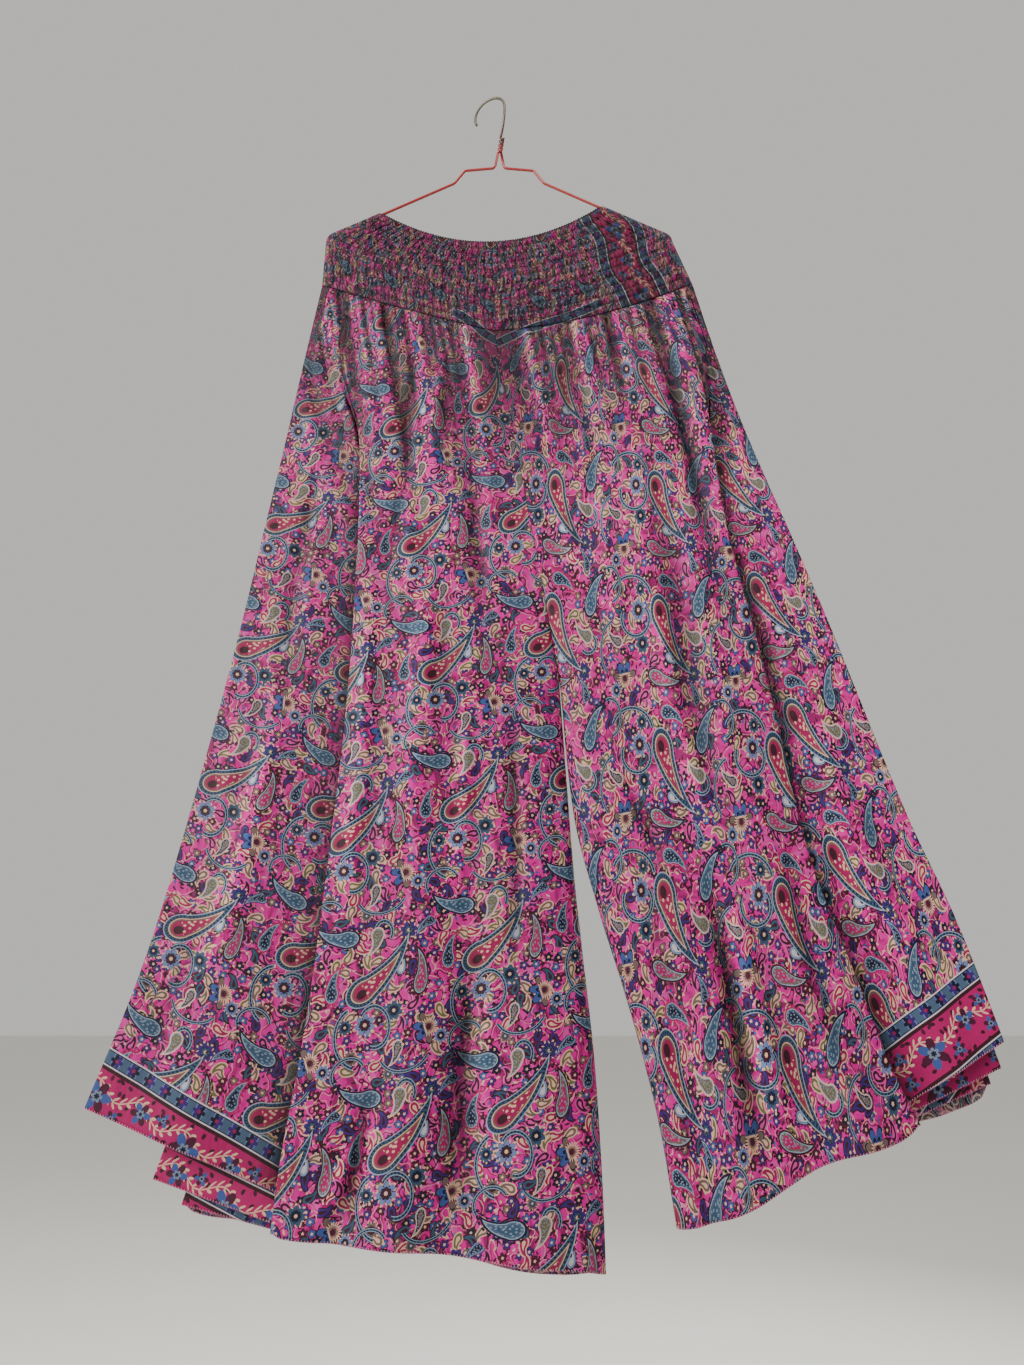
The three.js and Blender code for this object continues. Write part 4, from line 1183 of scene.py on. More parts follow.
class Drawing:
    """Adds shader nodes to a tree and links them."""

    def __init__(self, tree):
        self.tree = tree

    def put(self, socket, value):
        if isinstance(value, bpy.types.NodeSocket):
            self.tree.links.new(value, socket)
        elif isinstance(value, str):
            socket.default_value = ink(value)
        elif value is not None:
            socket.default_value = value

    def node(self, kind, values=(), output=0, **settings):
        node = self.tree.nodes.new("ShaderNode" + kind)
        for key, setting in settings.items():
            setattr(node, key, setting)
        pairs = values.items() if isinstance(values, dict) else enumerate(values)
        for key, value in pairs:
            self.put(node.inputs[key], value)
        return node.outputs[output]

    def math(self, operation, *values):
        return self.node("Math", values, operation=operation)

    def vector(self, operation, *values):
        single = operation in ("LENGTH", "DISTANCE", "DOT_PRODUCT")
        return self.node("VectorMath", values, "Value" if single else "Vector", operation=operation)

    def both(self, *masks):
        value = masks[0]
        for mask in masks[1:]:
            value = self.math("MULTIPLY", value, mask)
        return value

    def above(self, value, limit):
        return self.math("GREATER_THAN", value, limit)

    def between(self, value, low, high):
        """1 where value lies between two limits."""
        return self.math("COMPARE", value, (low + high) / 2, (high - low) / 2)

    def split(self, value):
        node = self.tree.nodes.new("ShaderNodeSeparateXYZ")
        self.put(node.inputs[0], value)
        return node.outputs[0], node.outputs[1]

    def split_height(self, value):
        return self.node("SeparateXYZ", (value,), 2)

    def angle(self, value):
        x, y = self.split(value)
        return self.math("ARCTAN2", y, x)

    def over(self, below, mask, colour):
        """Lays a colour over another where the mask is 1."""
        return self.node("Mix", {0: mask, 6: below, 7: colour}, 2, data_type="RGBA")

    def pick(self, mask, no, yes):
        return self.node("Mix", {0: mask, 2: no, 3: yes}, 0, data_type="FLOAT")

    def pick_place(self, mask, no, yes):
        return self.node("Mix", {0: mask, 4: no, 5: yes}, 1, data_type="VECTOR")

    def bands(self, value, stops, soft=False):
        """Inks by value, from a table of (start, ink)."""
        node = self.tree.nodes.new("ShaderNodeValToRGB")
        node.color_ramp.interpolation = "LINEAR" if soft else "CONSTANT"
        elements = node.color_ramp.elements
        while len(elements) < len(stops):
            elements.new(1)
        for element, (start, name) in zip(elements, stops):
            element.position = start
        for element, (start, name) in zip(elements, stops):
            element.color = ink(name)
        self.put(node.inputs[0], value)
        return node.outputs[0]

    def noise(self, place, scale, detail=1.0, output=0):
        values = {"Vector": place, "Scale": scale, "Detail": detail}
        return self.node("TexNoise", values, output, noise_dimensions="2D")

    def cells(self, place, scale, feature="F1", randomness=1.0):
        """A Voronoi texture's node, which has a nearest point for every cell."""
        node = self.tree.nodes.new("ShaderNodeTexVoronoi")
        node.voronoi_dimensions, node.feature = "2D", feature
        self.put(node.inputs["Vector"], place)
        node.inputs["Scale"].default_value = scale
        node.inputs["Randomness"].default_value = randomness
        return node

    def group(self, tree, values):
        node = self.tree.nodes.new("ShaderNodeGroup")
        node.node_tree = tree
        for key, value in values.items():
            self.put(node.inputs[key], value)
        return node.outputs


KINDS = {"vector": "NodeSocketVector", "value": "NodeSocketFloat", "colour": "NodeSocketColor"}


def new_group(name, inputs, outputs):
    """A node group with named sockets. Gives its drawing, its inputs and its output node's inputs."""
    tree = bpy.data.node_groups.new(name, "ShaderNodeTree")
    for socket, kind in inputs.items():
        tree.interface.new_socket(socket, in_out="INPUT", socket_type=KINDS[kind])
    for socket, kind in outputs.items():
        tree.interface.new_socket(socket, in_out="OUTPUT", socket_type=KINDS[kind])
    given = tree.nodes.new("NodeGroupInput").outputs
    result = tree.nodes.new("NodeGroupOutput").inputs
    return Drawing(tree), given, result


# %% [markdown]
# ## One paisley
#
# A paisley is a round bulb with a tapering tail that bends to one side. The measure here is the
# depth inside its outline, in units of the bulb's radius: the larger of the depth inside a circle
# and the depth inside a cone that is wrapped round a bend. Bands of depth then give outlines.

# %% The paisley's shape
def paisley_group():
    d, given, result = new_group(
        "paisley shape",
        {"Place": "vector", "Bend": "value", "Length": "value"},
        {"Depth": "value", "Taper": "value", "Round": "value"},
    )
    place, bend, length = given["Place"], given["Bend"], given["Length"]
    from_centre = d.vector("SUBTRACT", d.node("CombineXYZ", (0.0, bend, 0.0)), place)
    x, y = d.split(from_centre)
    back_angle = d.math("ARCTAN2", x, y)
    spine = d.math("MULTIPLY", back_angle, bend)
    taper = d.math("ADD", d.math("DIVIDE", spine, length), 1.0)
    off_spine = d.math("ABSOLUTE", d.math("SUBTRACT", d.vector("LENGTH", from_centre), bend))
    tail = d.math("MINIMUM", d.math("SUBTRACT", taper, off_spine), d.math("MULTIPLY", spine, -900.0))
    bulb = d.math("SUBTRACT", 1.0, d.vector("LENGTH", place))
    d.put(result["Depth"], d.math("MAXIMUM", tail, bulb))
    d.put(result["Taper"], taper)
    in_tail = d.math("GREATER_THAN", tail, bulb)
    d.put(result["Round"], d.pick(in_tail, d.angle(place), spine))
    return d.tree


PAISLEY = paisley_group()


# %% [markdown]
# ## The repeat of the print
#
# The print repeats on a tile of 110 by 142 mm. A motif is drawn once, round its own centre:
# `WRAP` brings every point of the cloth to the tile that has the motif in its middle, so a motif
# never gets cut at a tile's edge, and a Mapping node turns and scales the place to the motif's own
# measure. Below is the chart of the motifs, in millimetres from the large paisley's bulb.

# %% The chart of motifs
TILE = (110, 142)
LARGE = {"centre": (0, 0), "turn": 20, "size": (17, 12.6)}
LARGE_SHAPE = {"Bend": 4.6, "Length": 3.9}
# (name, centre, turn, size along, size across). A size across below zero bends the other way.
SMALL_PAISLEYS = [
    ("drop", (-57, -6), 70, 11.5, 6.4),
    ("feather", (-29, 6), 84, 8.6, -6.4),
    ("eyed", (37, 10), 62, 5.4, 4.2),
    ("spotted", (-8, 50), 168, 11.5, -7.8),
    ("comma", (-40, 45), 190, 6.4, 4.8),
    ("taupe", (20, 46), 262, 6.6, -6.0),
    ("slender", (24, 86), 258, 6.0, -4.6),
]
SMALL_SHAPE = {"Bend": 2.9, "Length": 3.2}
SOWN_SHAPE = {"Bend": 1.9, "Length": 2.9}
# (centre, (half width, half height), which way its open side faces, how much of it is drawn).
STRANDS = [
    ((5, -33), (14, 18), 190, -0.55),
    ((-12, -38), (20, 26), -5, 0.3),
    ((26, 47), (8, 10), 235, -0.2),
    ((-24, 76), (15, 13), 290, -0.1),
    ((30, -58), (24, 20), 80, 0.45),
]
# (centre, radius).
FLOWERS = [
    ((-21, -26), 6.5), ((-3, -29), 9.5), ((49, 42), 8), ((25, -24), 8.5), ((-20, 88), 6.5), ((42, 68), 6),
    ((-46, 84), 6.5), ((12, 66), 5),
]
CROWN = {"centre": (54, 95), "turn": 8, "size": (14, 14)}


def place_motif(d, cloth, centre, turn, size):
    """Places in a motif's own measure."""
    low = (centre[0] - TILE[0] / 2, centre[1] - TILE[1] / 2, 0)
    high = (centre[0] + TILE[0] / 2, centre[1] + TILE[1] / 2, 0)
    near = d.vector("WRAP", cloth, high, low)
    values = (near, (*centre, 0), (0, 0, math.radians(turn)), (*size, 1))
    return d.node("Mapping", values, vector_type="TEXTURE")


def nearest(d, places):
    """The place in whichever motif is nearest, its distance and its number."""
    best, distance, number = places[0], d.vector("LENGTH", places[0]), 0.0
    for index, place in enumerate(places[1:], 1):
        length = d.vector("LENGTH", place)
        closer = d.math("LESS_THAN", length, distance)
        best = d.pick_place(closer, best, place)
        number = d.pick(closer, number, float(index))
        distance = d.math("MINIMUM", length, distance)
    return best, distance, number


# %% [markdown]
# The ground is pink with darker streaks, sown with small paisleys, flowers and flecks. A Voronoi
# texture gives each cell a centre and a random colour: the place relative to that centre is turned
# by a random angle, and the random colour also picks the ink. The vines are the contour lines of a
# smooth noise, which are curly by nature.

# %% Sown flowers, paisleys and flecks
def sow(d, cloth, pitch, randomness=0.85):
    """For each cell of a given pitch: the turned place, and two random numbers."""
    cell = d.cells(cloth, 1 / pitch, randomness=randomness)
    pick, chance = d.split(cell.outputs["Color"])
    from_middle = d.vector("SUBTRACT", cloth, cell.outputs["Position"])
    turn = {"Vector": from_middle, "Angle": d.math("MULTIPLY", chance, 40.0)}
    return d.node("VectorRotate", turn, rotation_type="Z_AXIS"), pick, chance


def sown_flowers(d, cloth, below, pitch, petals, radius, inks, share):
    """Small round flowers with a dark edge and a pale heart, one to a cell."""
    place, pick, chance = sow(d, cloth, pitch)
    petal = d.math("ABSOLUTE", d.math("COSINE", d.math("MULTIPLY", d.angle(place), petals / 2)))
    reach = d.math("MULTIPLY_ADD", petal, 0.4 * radius, 0.6 * radius)
    ring = d.math("DIVIDE", d.vector("LENGTH", place), reach)
    wanted = d.math("LESS_THAN", chance, share)
    below = d.over(below, d.both(d.math("LESS_THAN", ring, 1.25), wanted), "maroon")
    below = d.over(below, d.both(d.math("LESS_THAN", ring, 1.0), wanted), d.bands(pick, inks))
    return d.over(below, d.both(d.math("LESS_THAN", ring, 0.36), wanted), "cream")


def sown_paisleys(d, cloth, below, pitch, size, share):
    """Little paisleys with a pale outline, one to a cell."""
    turned, pick, chance = sow(d, cloth, pitch)
    place = d.vector("ADD", d.vector("SCALE", turned, None, None, 1 / size), (1.0, 0.25, 0))
    place = d.vector("MULTIPLY", place, (0.85, 1.15, 0))
    depth = d.group(PAISLEY, {"Place": place, **SOWN_SHAPE})["Depth"]
    wanted = d.math("LESS_THAN", chance, share)
    starts = (0, 0.28, 0.45, 0.6, 0.74, 0.88)
    body = d.bands(pick, list(zip(starts, ("taupe", "maroon", "violet", "crimson", "teal", "olive"))))
    edge = d.bands(pick, list(zip(starts, ("cream", "blush", "maroon", "cream", "maroon", "cream"))))
    below = d.over(below, d.both(d.above(depth, -0.22), wanted), edge)
    below = d.over(below, d.both(d.above(depth, 0.06), wanted), body)
    return d.over(below, d.both(d.above(depth, 0.55), wanted), edge)


def sown_flecks(d, cloth, below, pitch, size, inks, share):
    """Narrow leaves and flecks, one to a cell."""
    turned, pick, chance = sow(d, cloth, pitch, 1.0)
    shape = d.vector("LENGTH", d.vector("MULTIPLY", turned, (1 / size[0], 1 / size[1], 0)))
    shown = d.both(d.math("LESS_THAN", shape, 1.0), d.math("LESS_THAN", chance, share))
    return d.over(below, shown, d.bands(pick, inks))


FLECK_INKS = [
    (0, "cream"), (0.18, "maroon"), (0.52, "magenta"), (0.64, "blue"), (0.74, "cream"), (0.82, "plum"),
]
FLOWER_INKS = [(0, "violet"), (0.3, "blue"), (0.48, "plum"), (0.64, "taupe"), (0.78, "navy")]


def ground(d, cloth):
    streaks = d.noise(d.vector("MULTIPLY", cloth, (0.11, 0.028, 0)), 1.0, 2.0)
    colour = d.bands(streaks, [(0.36, "streak"), (0.47, "pink"), (0.56, "pink"), (0.68, "blush")], soft=True)
    colour = sown_flecks(d, cloth, colour, 4.8, (2.3, 0.9), FLECK_INKS, 0.5)
    curls = d.noise(cloth, 0.085, 0.5)
    colour = d.over(colour, d.between(curls, 0.415, 0.45), "maroon")
    colour = d.over(colour, d.between(curls, 0.5, 0.52), "cream")
    colour = sown_flowers(d, cloth, colour, 9.0, 5, 3.7, FLOWER_INKS, 0.6)
    return sown_paisleys(d, cloth, colour, 15.0, 4.1, 0.62)


# %% [markdown]
# Strands are bent double lines with pearls, part of an ellipse each. Flowers and small paisleys are
# drawn once for all of their places: the nearest place is found first, and only that one is drawn.

# %% Strands, flowers and paisleys
def strands(d, cloth, below):
    for centre, size, faces, limit in STRANDS:
        place = place_motif(d, cloth, centre, 0, size)
        off = d.math("ABSOLUTE", d.math("SUBTRACT", d.vector("LENGTH", place), 1.0))
        away = (-math.cos(math.radians(faces)), -math.sin(math.radians(faces)), 0)
        drawn = d.above(d.vector("DOT_PRODUCT", place, away), limit)
        unit_off = d.math("MULTIPLY", off, size[0] / 2)
        colour = d.bands(unit_off, [(0, "teal"), (0.4, "pale"), (0.72, "maroon")])
        pearls = d.above(d.math("SINE", d.math("MULTIPLY", d.angle(place), float(2 * size[0]))), 0.1)
        colour = d.over(colour, d.both(pearls, d.math("LESS_THAN", unit_off, 0.36)), "navy")
        below = d.over(below, d.both(drawn, d.math("LESS_THAN", unit_off, 0.95)), colour)
    return below


def charted_flowers(d, cloth, below):
    places = [place_motif(d, cloth, centre, 25 * i, (r, r)) for i, (centre, r) in enumerate(FLOWERS)]
    place, length, number = nearest(d, places)
    phase = d.math("MULTIPLY", d.angle(place), 3.5)
    petal = d.math("ABSOLUTE", d.math("COSINE", phase))
    edge = d.math("MULTIPLY_ADD", petal, 0.3, 0.7)
    ring = d.math("DIVIDE", length, edge)
    odd = d.math("FRACT", d.math("MULTIPLY", number, 0.381))
    outer = d.bands(odd, [(0, "teal"), (0.25, "iris"), (0.5, "taupe"), (0.75, "violet")])
    inner = d.bands(odd, [(0, "navy"), (0.3, "maroon"), (0.55, "teal"), (0.8, "crimson")])
    colour = d.over(outer, d.math("LESS_THAN", petal, 0.22), "navy")
    colour = d.over(colour, d.math("LESS_THAN", ring, 0.56), inner)
    colour = d.over(colour, d.math("LESS_THAN", ring, 0.2), "cream")
    colour = d.over(colour, d.between(ring, 0.5, 0.58), "navy")
    rim = d.between(ring, 1.0, 1.22)
    dotted = d.above(d.math("SINE", d.math("MULTIPLY", phase, 4.0)), 0.1)
    below = d.over(below, d.both(rim, dotted), "cream")
    return d.over(below, d.math("LESS_THAN", ring, 1.0), colour)


def crown(d, cloth, below):
    """Half a flower on a collar of cream spikes."""
    place = place_motif(d, cloth, **CROWN)
    x, _ = d.split(place)
    length, phase = d.vector("LENGTH", place), d.math("MULTIPLY", d.angle(place), 3.5)
    petal = d.math("ABSOLUTE", d.math("COSINE", phase))
    ring = d.math("DIVIDE", length, d.math("MULTIPLY_ADD", petal, 0.5, 0.5))
    petals = d.over("blue", d.above(d.math("COSINE", phase), 0.0), "taupe")
    petals = d.over(petals, d.between(ring, 0.42, 0.6), "navy")
    left = d.math("LESS_THAN", x, 0.0)
    below = d.over(below, d.both(left, d.math("LESS_THAN", ring, 1.1)), "navy")
    below = d.over(below, d.both(left, d.math("LESS_THAN", ring, 1.0)), petals)
    spikes = d.math("ABSOLUTE", d.math("COSINE", d.math("MULTIPLY", phase, 3.0)))
    spike_ring = d.math("DIVIDE", length, d.math("MULTIPLY_ADD", spikes, 0.35, 0.25))
    spiked = d.both(d.above(x, -0.3), d.math("LESS_THAN", spike_ring, 1.0))
    below = d.over(below, spiked, "cream")
    return d.over(below, d.both(d.above(x, -0.2), d.math("LESS_THAN", spike_ring, 0.62)), "plum")


PAISLEY_MIDDLE = (1.3, 0.35)
# Inks of the outline, the body and the middle. A kind is a paisley's row in the chart, over seven.
SMALL_INKS = [
    [(0, "maroon"), (0.15, "magenta"), (0.3, "navy"), (0.58, "violet"), (0.72, "cream")],
    [(0, "taupe"), (0.15, "teal"), (0.3, "iris"), (0.44, "slate"), (0.72, "taupe"), (0.86, "maroon")],
    [
        (0, "magenta"), (0.15, "navy"), (0.3, "white"), (0.44, "teal"), (0.58, "navy"), (0.72, "olive"),
        (0.86, "taupe"),
    ],
]


def small_paisleys(d, cloth, below):
    places = [
        place_motif(d, cloth, centre, turn, (long, wide)) for _, centre, turn, long, wide in SMALL_PAISLEYS
    ]
    # A paisley's middle lies out along its tail, so the nearest one is judged from there.
    out_x, out_y = PAISLEY_MIDDLE
    middles = [d.vector("ADD", place, (-out_x, -out_y, 0)) for place in places]
    middle, _, number = nearest(d, middles)
    place = d.vector("ADD", middle, (out_x, out_y, 0))
    shape = d.group(PAISLEY, {"Place": place, **SMALL_SHAPE})
    depth, round_ = shape["Depth"], shape["Round"]
    kind = d.math("MULTIPLY_ADD", number, 1 / len(SMALL_PAISLEYS), 0.05)
    outline, body, middle_ink = (d.bands(kind, inks) for inks in SMALL_INKS)
    spots = d.cells(place, 2.6, randomness=0.75).outputs["Distance"]
    fill = d.over(body, d.above(depth, 0.45), middle_ink)
    fill = d.over(fill, d.math("LESS_THAN", spots, 0.24), "pale")
    fill = d.over(fill, d.math("LESS_THAN", spots, 0.1), "maroon")
    colour = d.over(outline, d.above(depth, 0.1), "pale")
    colour = d.over(colour, d.above(depth, 0.2), fill)
    scallops = d.above(d.math("SINE", d.math("MULTIPLY", round_, 11.0)), -0.2)
    scallop = d.both(d.between(depth, -0.34, -0.13), scallops)
    below = d.over(below, d.both(scallop, d.math("LESS_THAN", kind, 0.6)), outline)
    return d.over(below, d.above(depth, -0.08), colour)


LARGE_INKS = [
    (0, "pale"), (0.07, "navy"), (0.1, "teal"), (0.27, "navy"), (0.3, "cream"), (0.36, "taupe"),
    (0.46, "crimson"),
]


def large_paisley(d, cloth, below):
    place = place_motif(d, cloth, **LARGE)
    shape = d.group(PAISLEY, {"Place": place, **LARGE_SHAPE})
    depth, taper, round_ = shape["Depth"], shape["Taper"], shape["Round"]
    pearls = d.above(d.math("SINE", d.math("MULTIPLY", round_, 26.0)), 0.15)
    colour = d.bands(d.math("ADD", depth, 0.03), LARGE_INKS)
    colour = d.over(colour, d.both(d.between(depth, 0.1, 0.21), pearls), "navy")
    eye = d.math("LESS_THAN", d.vector("DISTANCE", place, (-0.15, -0.1, 0)), 0.3)
    colour = d.over(colour, eye, "maroon")
    marks = d.cells(place, 3.0, randomness=0.8).outputs["Distance"]
    figures = d.both(d.math("LESS_THAN", marks, 0.26), d.above(depth, 0.44), d.between(taper, 0.55, 0.98))
    colour = d.over(colour, figures, "cream")
    scallops = d.above(d.math("SINE", d.math("MULTIPLY", round_, 19.0)), -0.3)
    scallop = d.both(d.between(depth, -0.14, -0.05), scallops)
    upper = d.above(d.split(place)[1], 0.0)
    below = d.over(below, d.both(scallop, upper), "maroon")
    return d.over(below, d.above(depth, -0.03), colour)


# %% The whole print
def paisley_print():
    d, given, result = new_group("paisley print", {"Place": "vector"}, {"Colour": "colour"})
    cloth = given["Place"]
    colour = ground(d, cloth)
    colour = charted_flowers(d, cloth, colour)
    colour = crown(d, cloth, colour)
    colour = strands(d, cloth, colour)
    colour = small_paisleys(d, cloth, colour)
    colour = large_paisley(d, cloth, colour)
    d.put(result["Colour"], colour)
    print(f"paisley print: {len(d.tree.nodes)} nodes")
    return d.tree


PRINT = paisley_print()

# %% [markdown]
# ## The border
#
# A border runs along the edges of the printed cloth: a floral band on magenta between two blue
# ribbons with white edges. It is drawn on its own places, along and across the strip.

# %% The border's chart
# (place along, place across, radius) of the flowers between two beats of the vine.
BORDER_FLOWERS = [(18, -2, 14), (62, 4, 10), (40, -12, 7), (84, 10, 6.5), (80, -12, 7)]
BORDER_FLECKS = [(0, "maroon"), (0.6, "plum")]
VINE = {"swing": 5.5, "middle": 6.5, "leaf_half_pitch": 3.3, "leaf_lean": 0.8, "leaf_out": 3.1}
FAR = 400  # past the border's own width, where a place across it never wraps


def beat(d, place, start, period):
    """Brings every place along the strip to one beat that starts there."""
    return d.vector("WRAP", place, (start + period, FAR, 0), (start, -FAR, 0))


def border_vine(d, along, across, below):
    """A wavy stem with leaves on both sides."""
    wave = d.math("SINE", d.math("MULTIPLY", along, 4 * math.pi / BORDER["period"]))
    middle = d.math("SUBTRACT", across, VINE["middle"])
    off = d.math("ABSOLUTE", d.math("MULTIPLY_ADD", wave, -VINE["swing"], middle))
    leaning = d.math("MULTIPLY_ADD", off, -VINE["leaf_lean"], along)
    leaf_x = d.math("WRAP", leaning, VINE["leaf_half_pitch"], -VINE["leaf_half_pitch"])
    leaf_y = d.math("SUBTRACT", off, VINE["leaf_out"])
    scaled = (d.math("MULTIPLY", leaf_x, 0.75), d.math("MULTIPLY", leaf_y, 0.42), 0.0)
    leaf = d.vector("LENGTH", d.node("CombineXYZ", scaled))
    vine = d.math("MINIMUM", leaf, d.math("MULTIPLY", off, 1.6))
    return d.over(below, d.math("LESS_THAN", vine, 1.0), "cream")


def border_flowers(d, strip, below):
    places = []
    for at, out, radius in BORDER_FLOWERS:
        near = beat(d, strip, at - BORDER["period"] / 2, BORDER["period"])
        values = (near, (at, out, 0), (0, 0, at), (radius, radius, 1))
        places.append(d.node("Mapping", values, vector_type="TEXTURE"))
    place, length, _ = nearest(d, places)
    phase = d.math("MULTIPLY", d.angle(place), 3.0)
    petal = d.math("ABSOLUTE", d.math("COSINE", phase))
    ring = d.math("DIVIDE", length, d.math("MULTIPLY_ADD", petal, 0.45, 0.55))
    petals = d.over("blue", d.above(d.math("COSINE", phase), 0.0), "plum")
    petals = d.over(petals, d.math("LESS_THAN", ring, 0.4), "grey")
    petals = d.over(petals, d.math("LESS_THAN", ring, 0.2), "navy")
    return d.over(below, d.math("LESS_THAN", ring, 1.0), petals)


def border_ribbon(d, along, off):
    """A ribbon on each side of the floral band, with small flowers and white edges."""
    half = BORDER["ribbon_period"] / 2
    middle, reach = (BORDER["line"] + BORDER["ribbon"]) / 2, (BORDER["ribbon"] - BORDER["line"]) / 2
    ribbon_ground = d.over("slate", d.between(d.math("PINGPONG", along, 9.0), 2.4, 4.6), "iris")
    near = beat(d, d.node("CombineXYZ", (along, off, 0.0)), -half / 2, half)
    in_flower = d.vector("SUBTRACT", near, (0, middle, 0))
    petal = d.math("ABSOLUTE", d.math("COSINE", d.math("MULTIPLY", d.angle(in_flower), 3.0)))
    ring = d.math("DIVIDE", d.vector("LENGTH", in_flower), d.math("MULTIPLY_ADD", petal, 2.6, 3.6))
    which = d.above(d.math("SINE", d.math("MULTIPLY", along, math.pi / half)), 0.0)
    flower = d.over("violet", which, "navy")
    ribbon = d.over(ribbon_ground, d.math("LESS_THAN", ring, 1.0), flower)
    ribbon = d.over(ribbon, d.math("LESS_THAN", ring, 0.3), "crimson")
    inside = d.math("ABSOLUTE", d.math("SUBTRACT", off, middle))
    ribbon = d.over(ribbon, d.above(inside, reach - BORDER["edge"] - 0.9), "navy")
    return d.over(ribbon, d.above(inside, reach - BORDER["edge"]), "white")


# %% The whole border
def border_group():
    d, given, result = new_group("border", {"Strip": "vector"}, {"Colour": "colour", "Mask": "value"})
    strip = given["Strip"]
    along, across = d.split(strip)
    off = d.math("ABSOLUTE", across)
    floral = sown_flecks(d, strip, "magenta", 7.5, (2.6, 1.6), BORDER_FLECKS, 0.5)
    floral = border_vine(d, along, across, floral)
    floral = border_flowers(d, strip, floral)
    colour = d.over(floral, d.above(off, BORDER["floral"]), "maroon")
    colour = d.over(colour, d.above(off, BORDER["line"]), border_ribbon(d, along, off))
    d.put(result["Colour"], colour)
    d.put(result["Mask"], d.math("LESS_THAN", off, BORDER["ribbon"]))
    print(f"border: {len(d.tree.nodes)} nodes")
    return d.tree


BORDER_PRINT = border_group()

# %% [markdown]
# ## Silk
#
# Silk has a soft sheen that follows its folds. The weave is too fine to see, but small wrinkles are
# not: they are a low bump, in two sizes.

# %% Wrinkles in the silk
def wrinkle_group():
    d, given, result = new_group("silk wrinkles", {"Place": "vector"}, {"Height": "value"})
    place = given["Place"]
    broad = d.noise(d.vector("MULTIPLY", place, (0.045, 0.012, 0)), 1.0, 2.0)
    fine = d.noise(d.vector("MULTIPLY", place, (0.3, 0.16, 0)), 1.0, 1.0)
    d.put(result["Height"], d.math("MULTIPLY_ADD", fine, 0.12, broad))
    return d.tree


WRINKLES = wrinkle_group()


def silk(name, bordered=False, tint=1.0, saturation=1.0, roughness=0.55):
    """A printed silk. The tint darkens or lightens the print."""
    material = bpy.data.materials.new(name)
    material.use_nodes = True
    d = Drawing(material.node_tree)
    shader = material.node_tree.nodes["Principled BSDF"].inputs
    place = d.node("Attribute", output="Vector", attribute_name="print_place")
    colour = d.group(PRINT, {"Place": place})["Colour"]
    if bordered:
        strip = d.node("Attribute", output="Vector", attribute_name="strip_place")
        border = d.group(BORDER_PRINT, {"Strip": strip})
        colour = d.over(colour, border["Mask"], border["Colour"])
    # Painted shade and light: the shade kept at each point darkens or lightens the print.
    shade, _ = d.split(d.node("Attribute", output="Vector", attribute_name="shade"))
    light = d.math("MULTIPLY", shade, tint)
    colour = d.node("HueSaturation", {"Saturation": saturation, "Value": light, "Color": colour})
    d.put(shader["Base Color"], colour)
    shader["Roughness"].default_value = roughness
    shader["Specular IOR Level"].default_value = 0.12
    height = d.group(WRINKLES, {"Place": place})["Height"]
    bump = d.node("Bump", {"Strength": 0.5, "Distance": 0.004, "Height": height})
    d.put(shader["Normal"], bump)
    return material


PRINTED = silk("printed silk")
BORDERED = silk("bordered silk", bordered=True)
# The shirred silk's tint of 0.5 is partly its own duller print and partly painted shade of its deep puckers.
SHIRRED = silk("shirred silk", bordered=True, tint=0.5, saturation=1.05)
REVERSE = silk("reverse of the silk", tint=0.8, saturation=0.7, roughness=0.6)


# %% [markdown]
# The border's nodes are only needed where the border is, so the cloth takes the bordered silk there
# and the plain print elsewhere. The inside of the cloth shows the reverse of the print, which is
# paler and duller.

# %% Dressing the cloth
def dress(made, outside, near_border=None):
    """Gives the outside faces the print and the inside faces the reverse."""
    mesh = made.data
    for material in (outside, REVERSE, near_border or outside):
        mesh.materials.append(material)
    half = len(mesh.vertices) // 2
    strip = np.empty(len(mesh.vertices) * 3, np.float32)
    mesh.attributes["strip_place"].data.foreach_get("vector", strip)
    near = np.abs(strip.reshape(-1, 3)[:, 1]) < BORDER["ribbon"] + 8
    corners = np.array([face.vertices[:] for face in mesh.polygons])
    inside = (corners >= half).all(axis=1)
    index = np.where(inside, 1, np.where(near[corners].any(axis=1), 2, 0))
    mesh.polygons.foreach_set("material_index", index)


for made in bands.values():
    dress(made, SHIRRED)
for made in legs.values():
    dress(made, PRINTED, BORDERED)

# %% [markdown]
# ## Thread
#
# Thread is small, but it is what holds the trousers together, and its lines are easy to see up
# close. The hems are overlocked in pale pink. A thread is a thin wire that follows a line of the
# cloth's own grid, just outside it, and a zigzag of thread over the hem's edge makes the overlock.

# %% A thread along a line of the cloth
def plain_material(name, colour):
    material = bpy.data.materials.new(name)
    material.use_nodes = True
    shader = material.node_tree.nodes["Principled BSDF"].inputs
    shader["Base Color"].default_value = colour
    shader["Roughness"].default_value = 0.7
    return material


HEM_THREAD = plain_material("pink thread", (0.5, 0.17, 0.27, 1))


def resample(line, spacing):
    """Points on a line at an even spacing."""
    run = np.concatenate([[0], np.cumsum(np.linalg.norm(np.diff(line, axis=0), axis=1))])
    at = steps(0, run[-1], max(2, int(run[-1] / spacing)))
    return np.stack([np.interp(at, run, line[:, k]) for k in range(3)], -1)


def hem_line(made):
    """The middle of the cloth's thickness along its lowest row."""
    half = len(made.data.vertices) // 2
    points = np.empty(2 * half * 3)
    made.data.vertices.foreach_get("co", points)
    points = points.reshape(2, half, 3) / MM
    return points[:, -GRID_COLUMNS[made.name] :].mean(axis=0)


OVERLOCK = {"step": 0.7, "below": 0.3, "above": 1.3, "out": 0.5, "radius": 0.36}


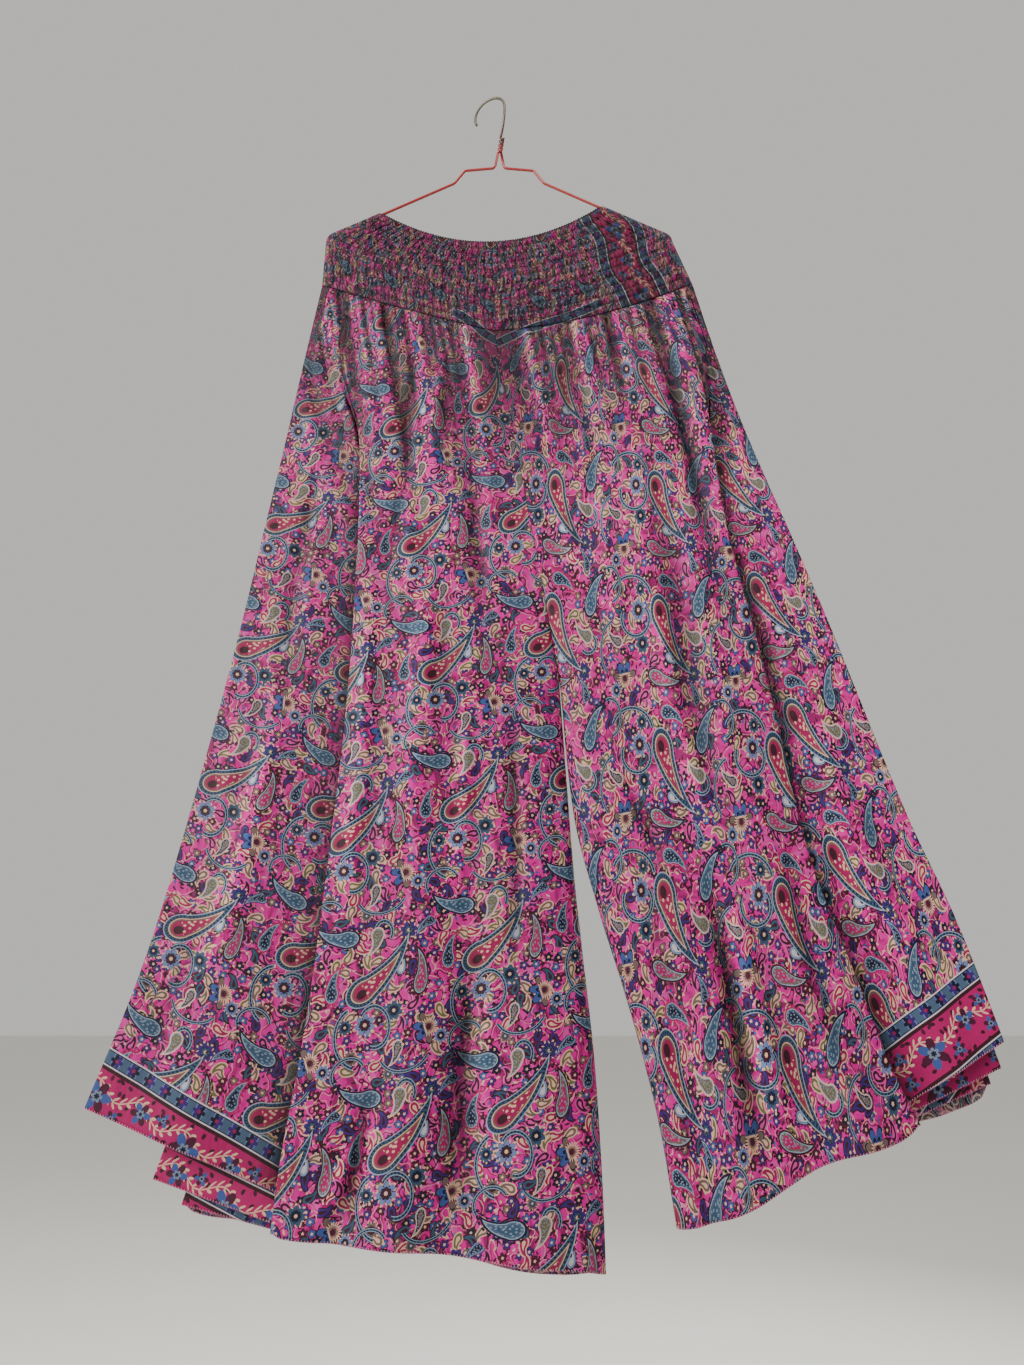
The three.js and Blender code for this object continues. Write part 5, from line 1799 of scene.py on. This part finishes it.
def overlock(made):
    line = resample(hem_line(made), OVERLOCK["step"])
    beat = np.arange(len(line))
    line[:, 2] += np.where(beat % 2 == 0, -OVERLOCK["below"], OVERLOCK["above"])
    line[:, 1] += OVERLOCK["out"] * np.where(beat % 4 == 1, -1, np.where(beat % 4 == 3, 1, 0))
    thread = wire_object(made.name.replace("silk", "overlock"), line, OVERLOCK["radius"], around=4)
    thread.data.materials.append(HEM_THREAD)
    return thread


threads = {key: overlock(made) for key, made in legs.items()}

# %% [markdown]
# ## The wire's finish
#
# The wire is dipped in red plastic from the neck down, and its hook is left bare. The change is a
# matter of height, so one ramp over the wire's height makes the colour and the metal.

# %% Coated wire
def wire_material():
    material = bpy.data.materials.new("coated wire")
    material.use_nodes = True
    d = Drawing(material.node_tree)
    shader = material.node_tree.nodes["Principled BSDF"].inputs
    height = d.split_height(d.node("TexCoord", output="Object"))
    share = d.node("MapRange", {"Value": height, "From Min": -0.09, "From Max": -0.03})
    inks = [(0, "coating"), (0.25, "coating"), (0.45, "neck"), (0.72, "neck"), (0.8, "steel")]
    d.put(shader["Base Color"], d.bands(share, inks, soft=True))
    d.put(shader["Metallic"], d.math("MULTIPLY", d.above(share, 0.76), 0.7))
    shader["Roughness"].default_value = 0.38
    return material


hanger_wire.data.materials.append(wire_material())

# %% [markdown]
# ## Joining the frame
#
# Each piece rides on the one rigid body. The wire and the cloth stand for their own pieces of the
# imported model, and the hem threads come on top. The size that each piece of cloth was cut to is
# measured on its grid, so it follows every change of form.

# %% Riding and replacing
def join_frame(made, node):
    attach(made, "root")
    if node:
        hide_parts(node)


join_frame(hanger_wire, "hanger")
for part, made in bands.items():
    join_frame(made, f"waistband_{part}")
for (name, part), made in legs.items():
    thread = threads[name, part]
    join_frame(made, f"{name}_leg_{part}")
    join_frame(thread, None)

# %% [markdown]
# ## Floor and light
#
# The trousers hang free, as from a rail at head height, over a plain pale floor. Big soft lights
# from the front keep the shadows soft, and a weaker one from behind shows the back of the cloth.
# The floor only has to be pale and even, so it is one flat sheet in one colour.

# %% The floor
RAIL_HEIGHT = 1900
FLOOR_REACH = 20000
FLOOR_COLOUR = (0.8, 0.788, 0.756, 1)


def plain_floor():
    signs = ((-1, -1), (1, -1), (1, 1), (-1, 1))
    corners = [(x * FLOOR_REACH, y * FLOOR_REACH, -RAIL_HEIGHT) for x, y in signs]
    made = mesh_object("floor", corners, [[0, 1, 2, 3]], flat_from=0)
    made.data.materials.append(plain_material("pale floor", FLOOR_COLOUR))


plain_floor()

# %% Lights
SKY = {"Color": (1, 0.985, 0.945, 1), "Strength": 0.6}
world = bpy.data.worlds.new("studio")
bpy.context.scene.world = world
world.use_nodes = True
for socket, value in SKY.items():
    world.node_tree.nodes["Background"].inputs[socket].default_value = value


def area_light(name, place, look_at, size, power, colour):
    data = bpy.data.lights.new(name, "AREA")
    data.size, data.energy, data.color = size, power, colour
    made = bpy.data.objects.new(name, data)
    made.location = Vector(place)
    made.rotation_euler = (Vector(look_at) - Vector(place)).to_track_quat("-Z", "Y").to_euler()
    bpy.context.scene.collection.objects.link(made)


# (name, place, what it shines at, size, power, colour), in metres and watts.
LIGHTS = [
    ("left window", (-2.1, -1.9, 0.4), (-0.3, 0, -0.6), 2.0, 195, (1, 0.995, 0.95)),
    ("ceiling", (0.7, -1.3, 1.7), (0.2, 0, -0.7), 1.8, 54, (1, 0.99, 0.93)),
    ("rear window", (1.3, 1.7, 0.3), (0, 0, -0.7), 1.6, 60, (1, 0.995, 0.95)),
]
for row in LIGHTS:
    area_light(*row)
print("lights:", [light.name for light in bpy.data.lights])
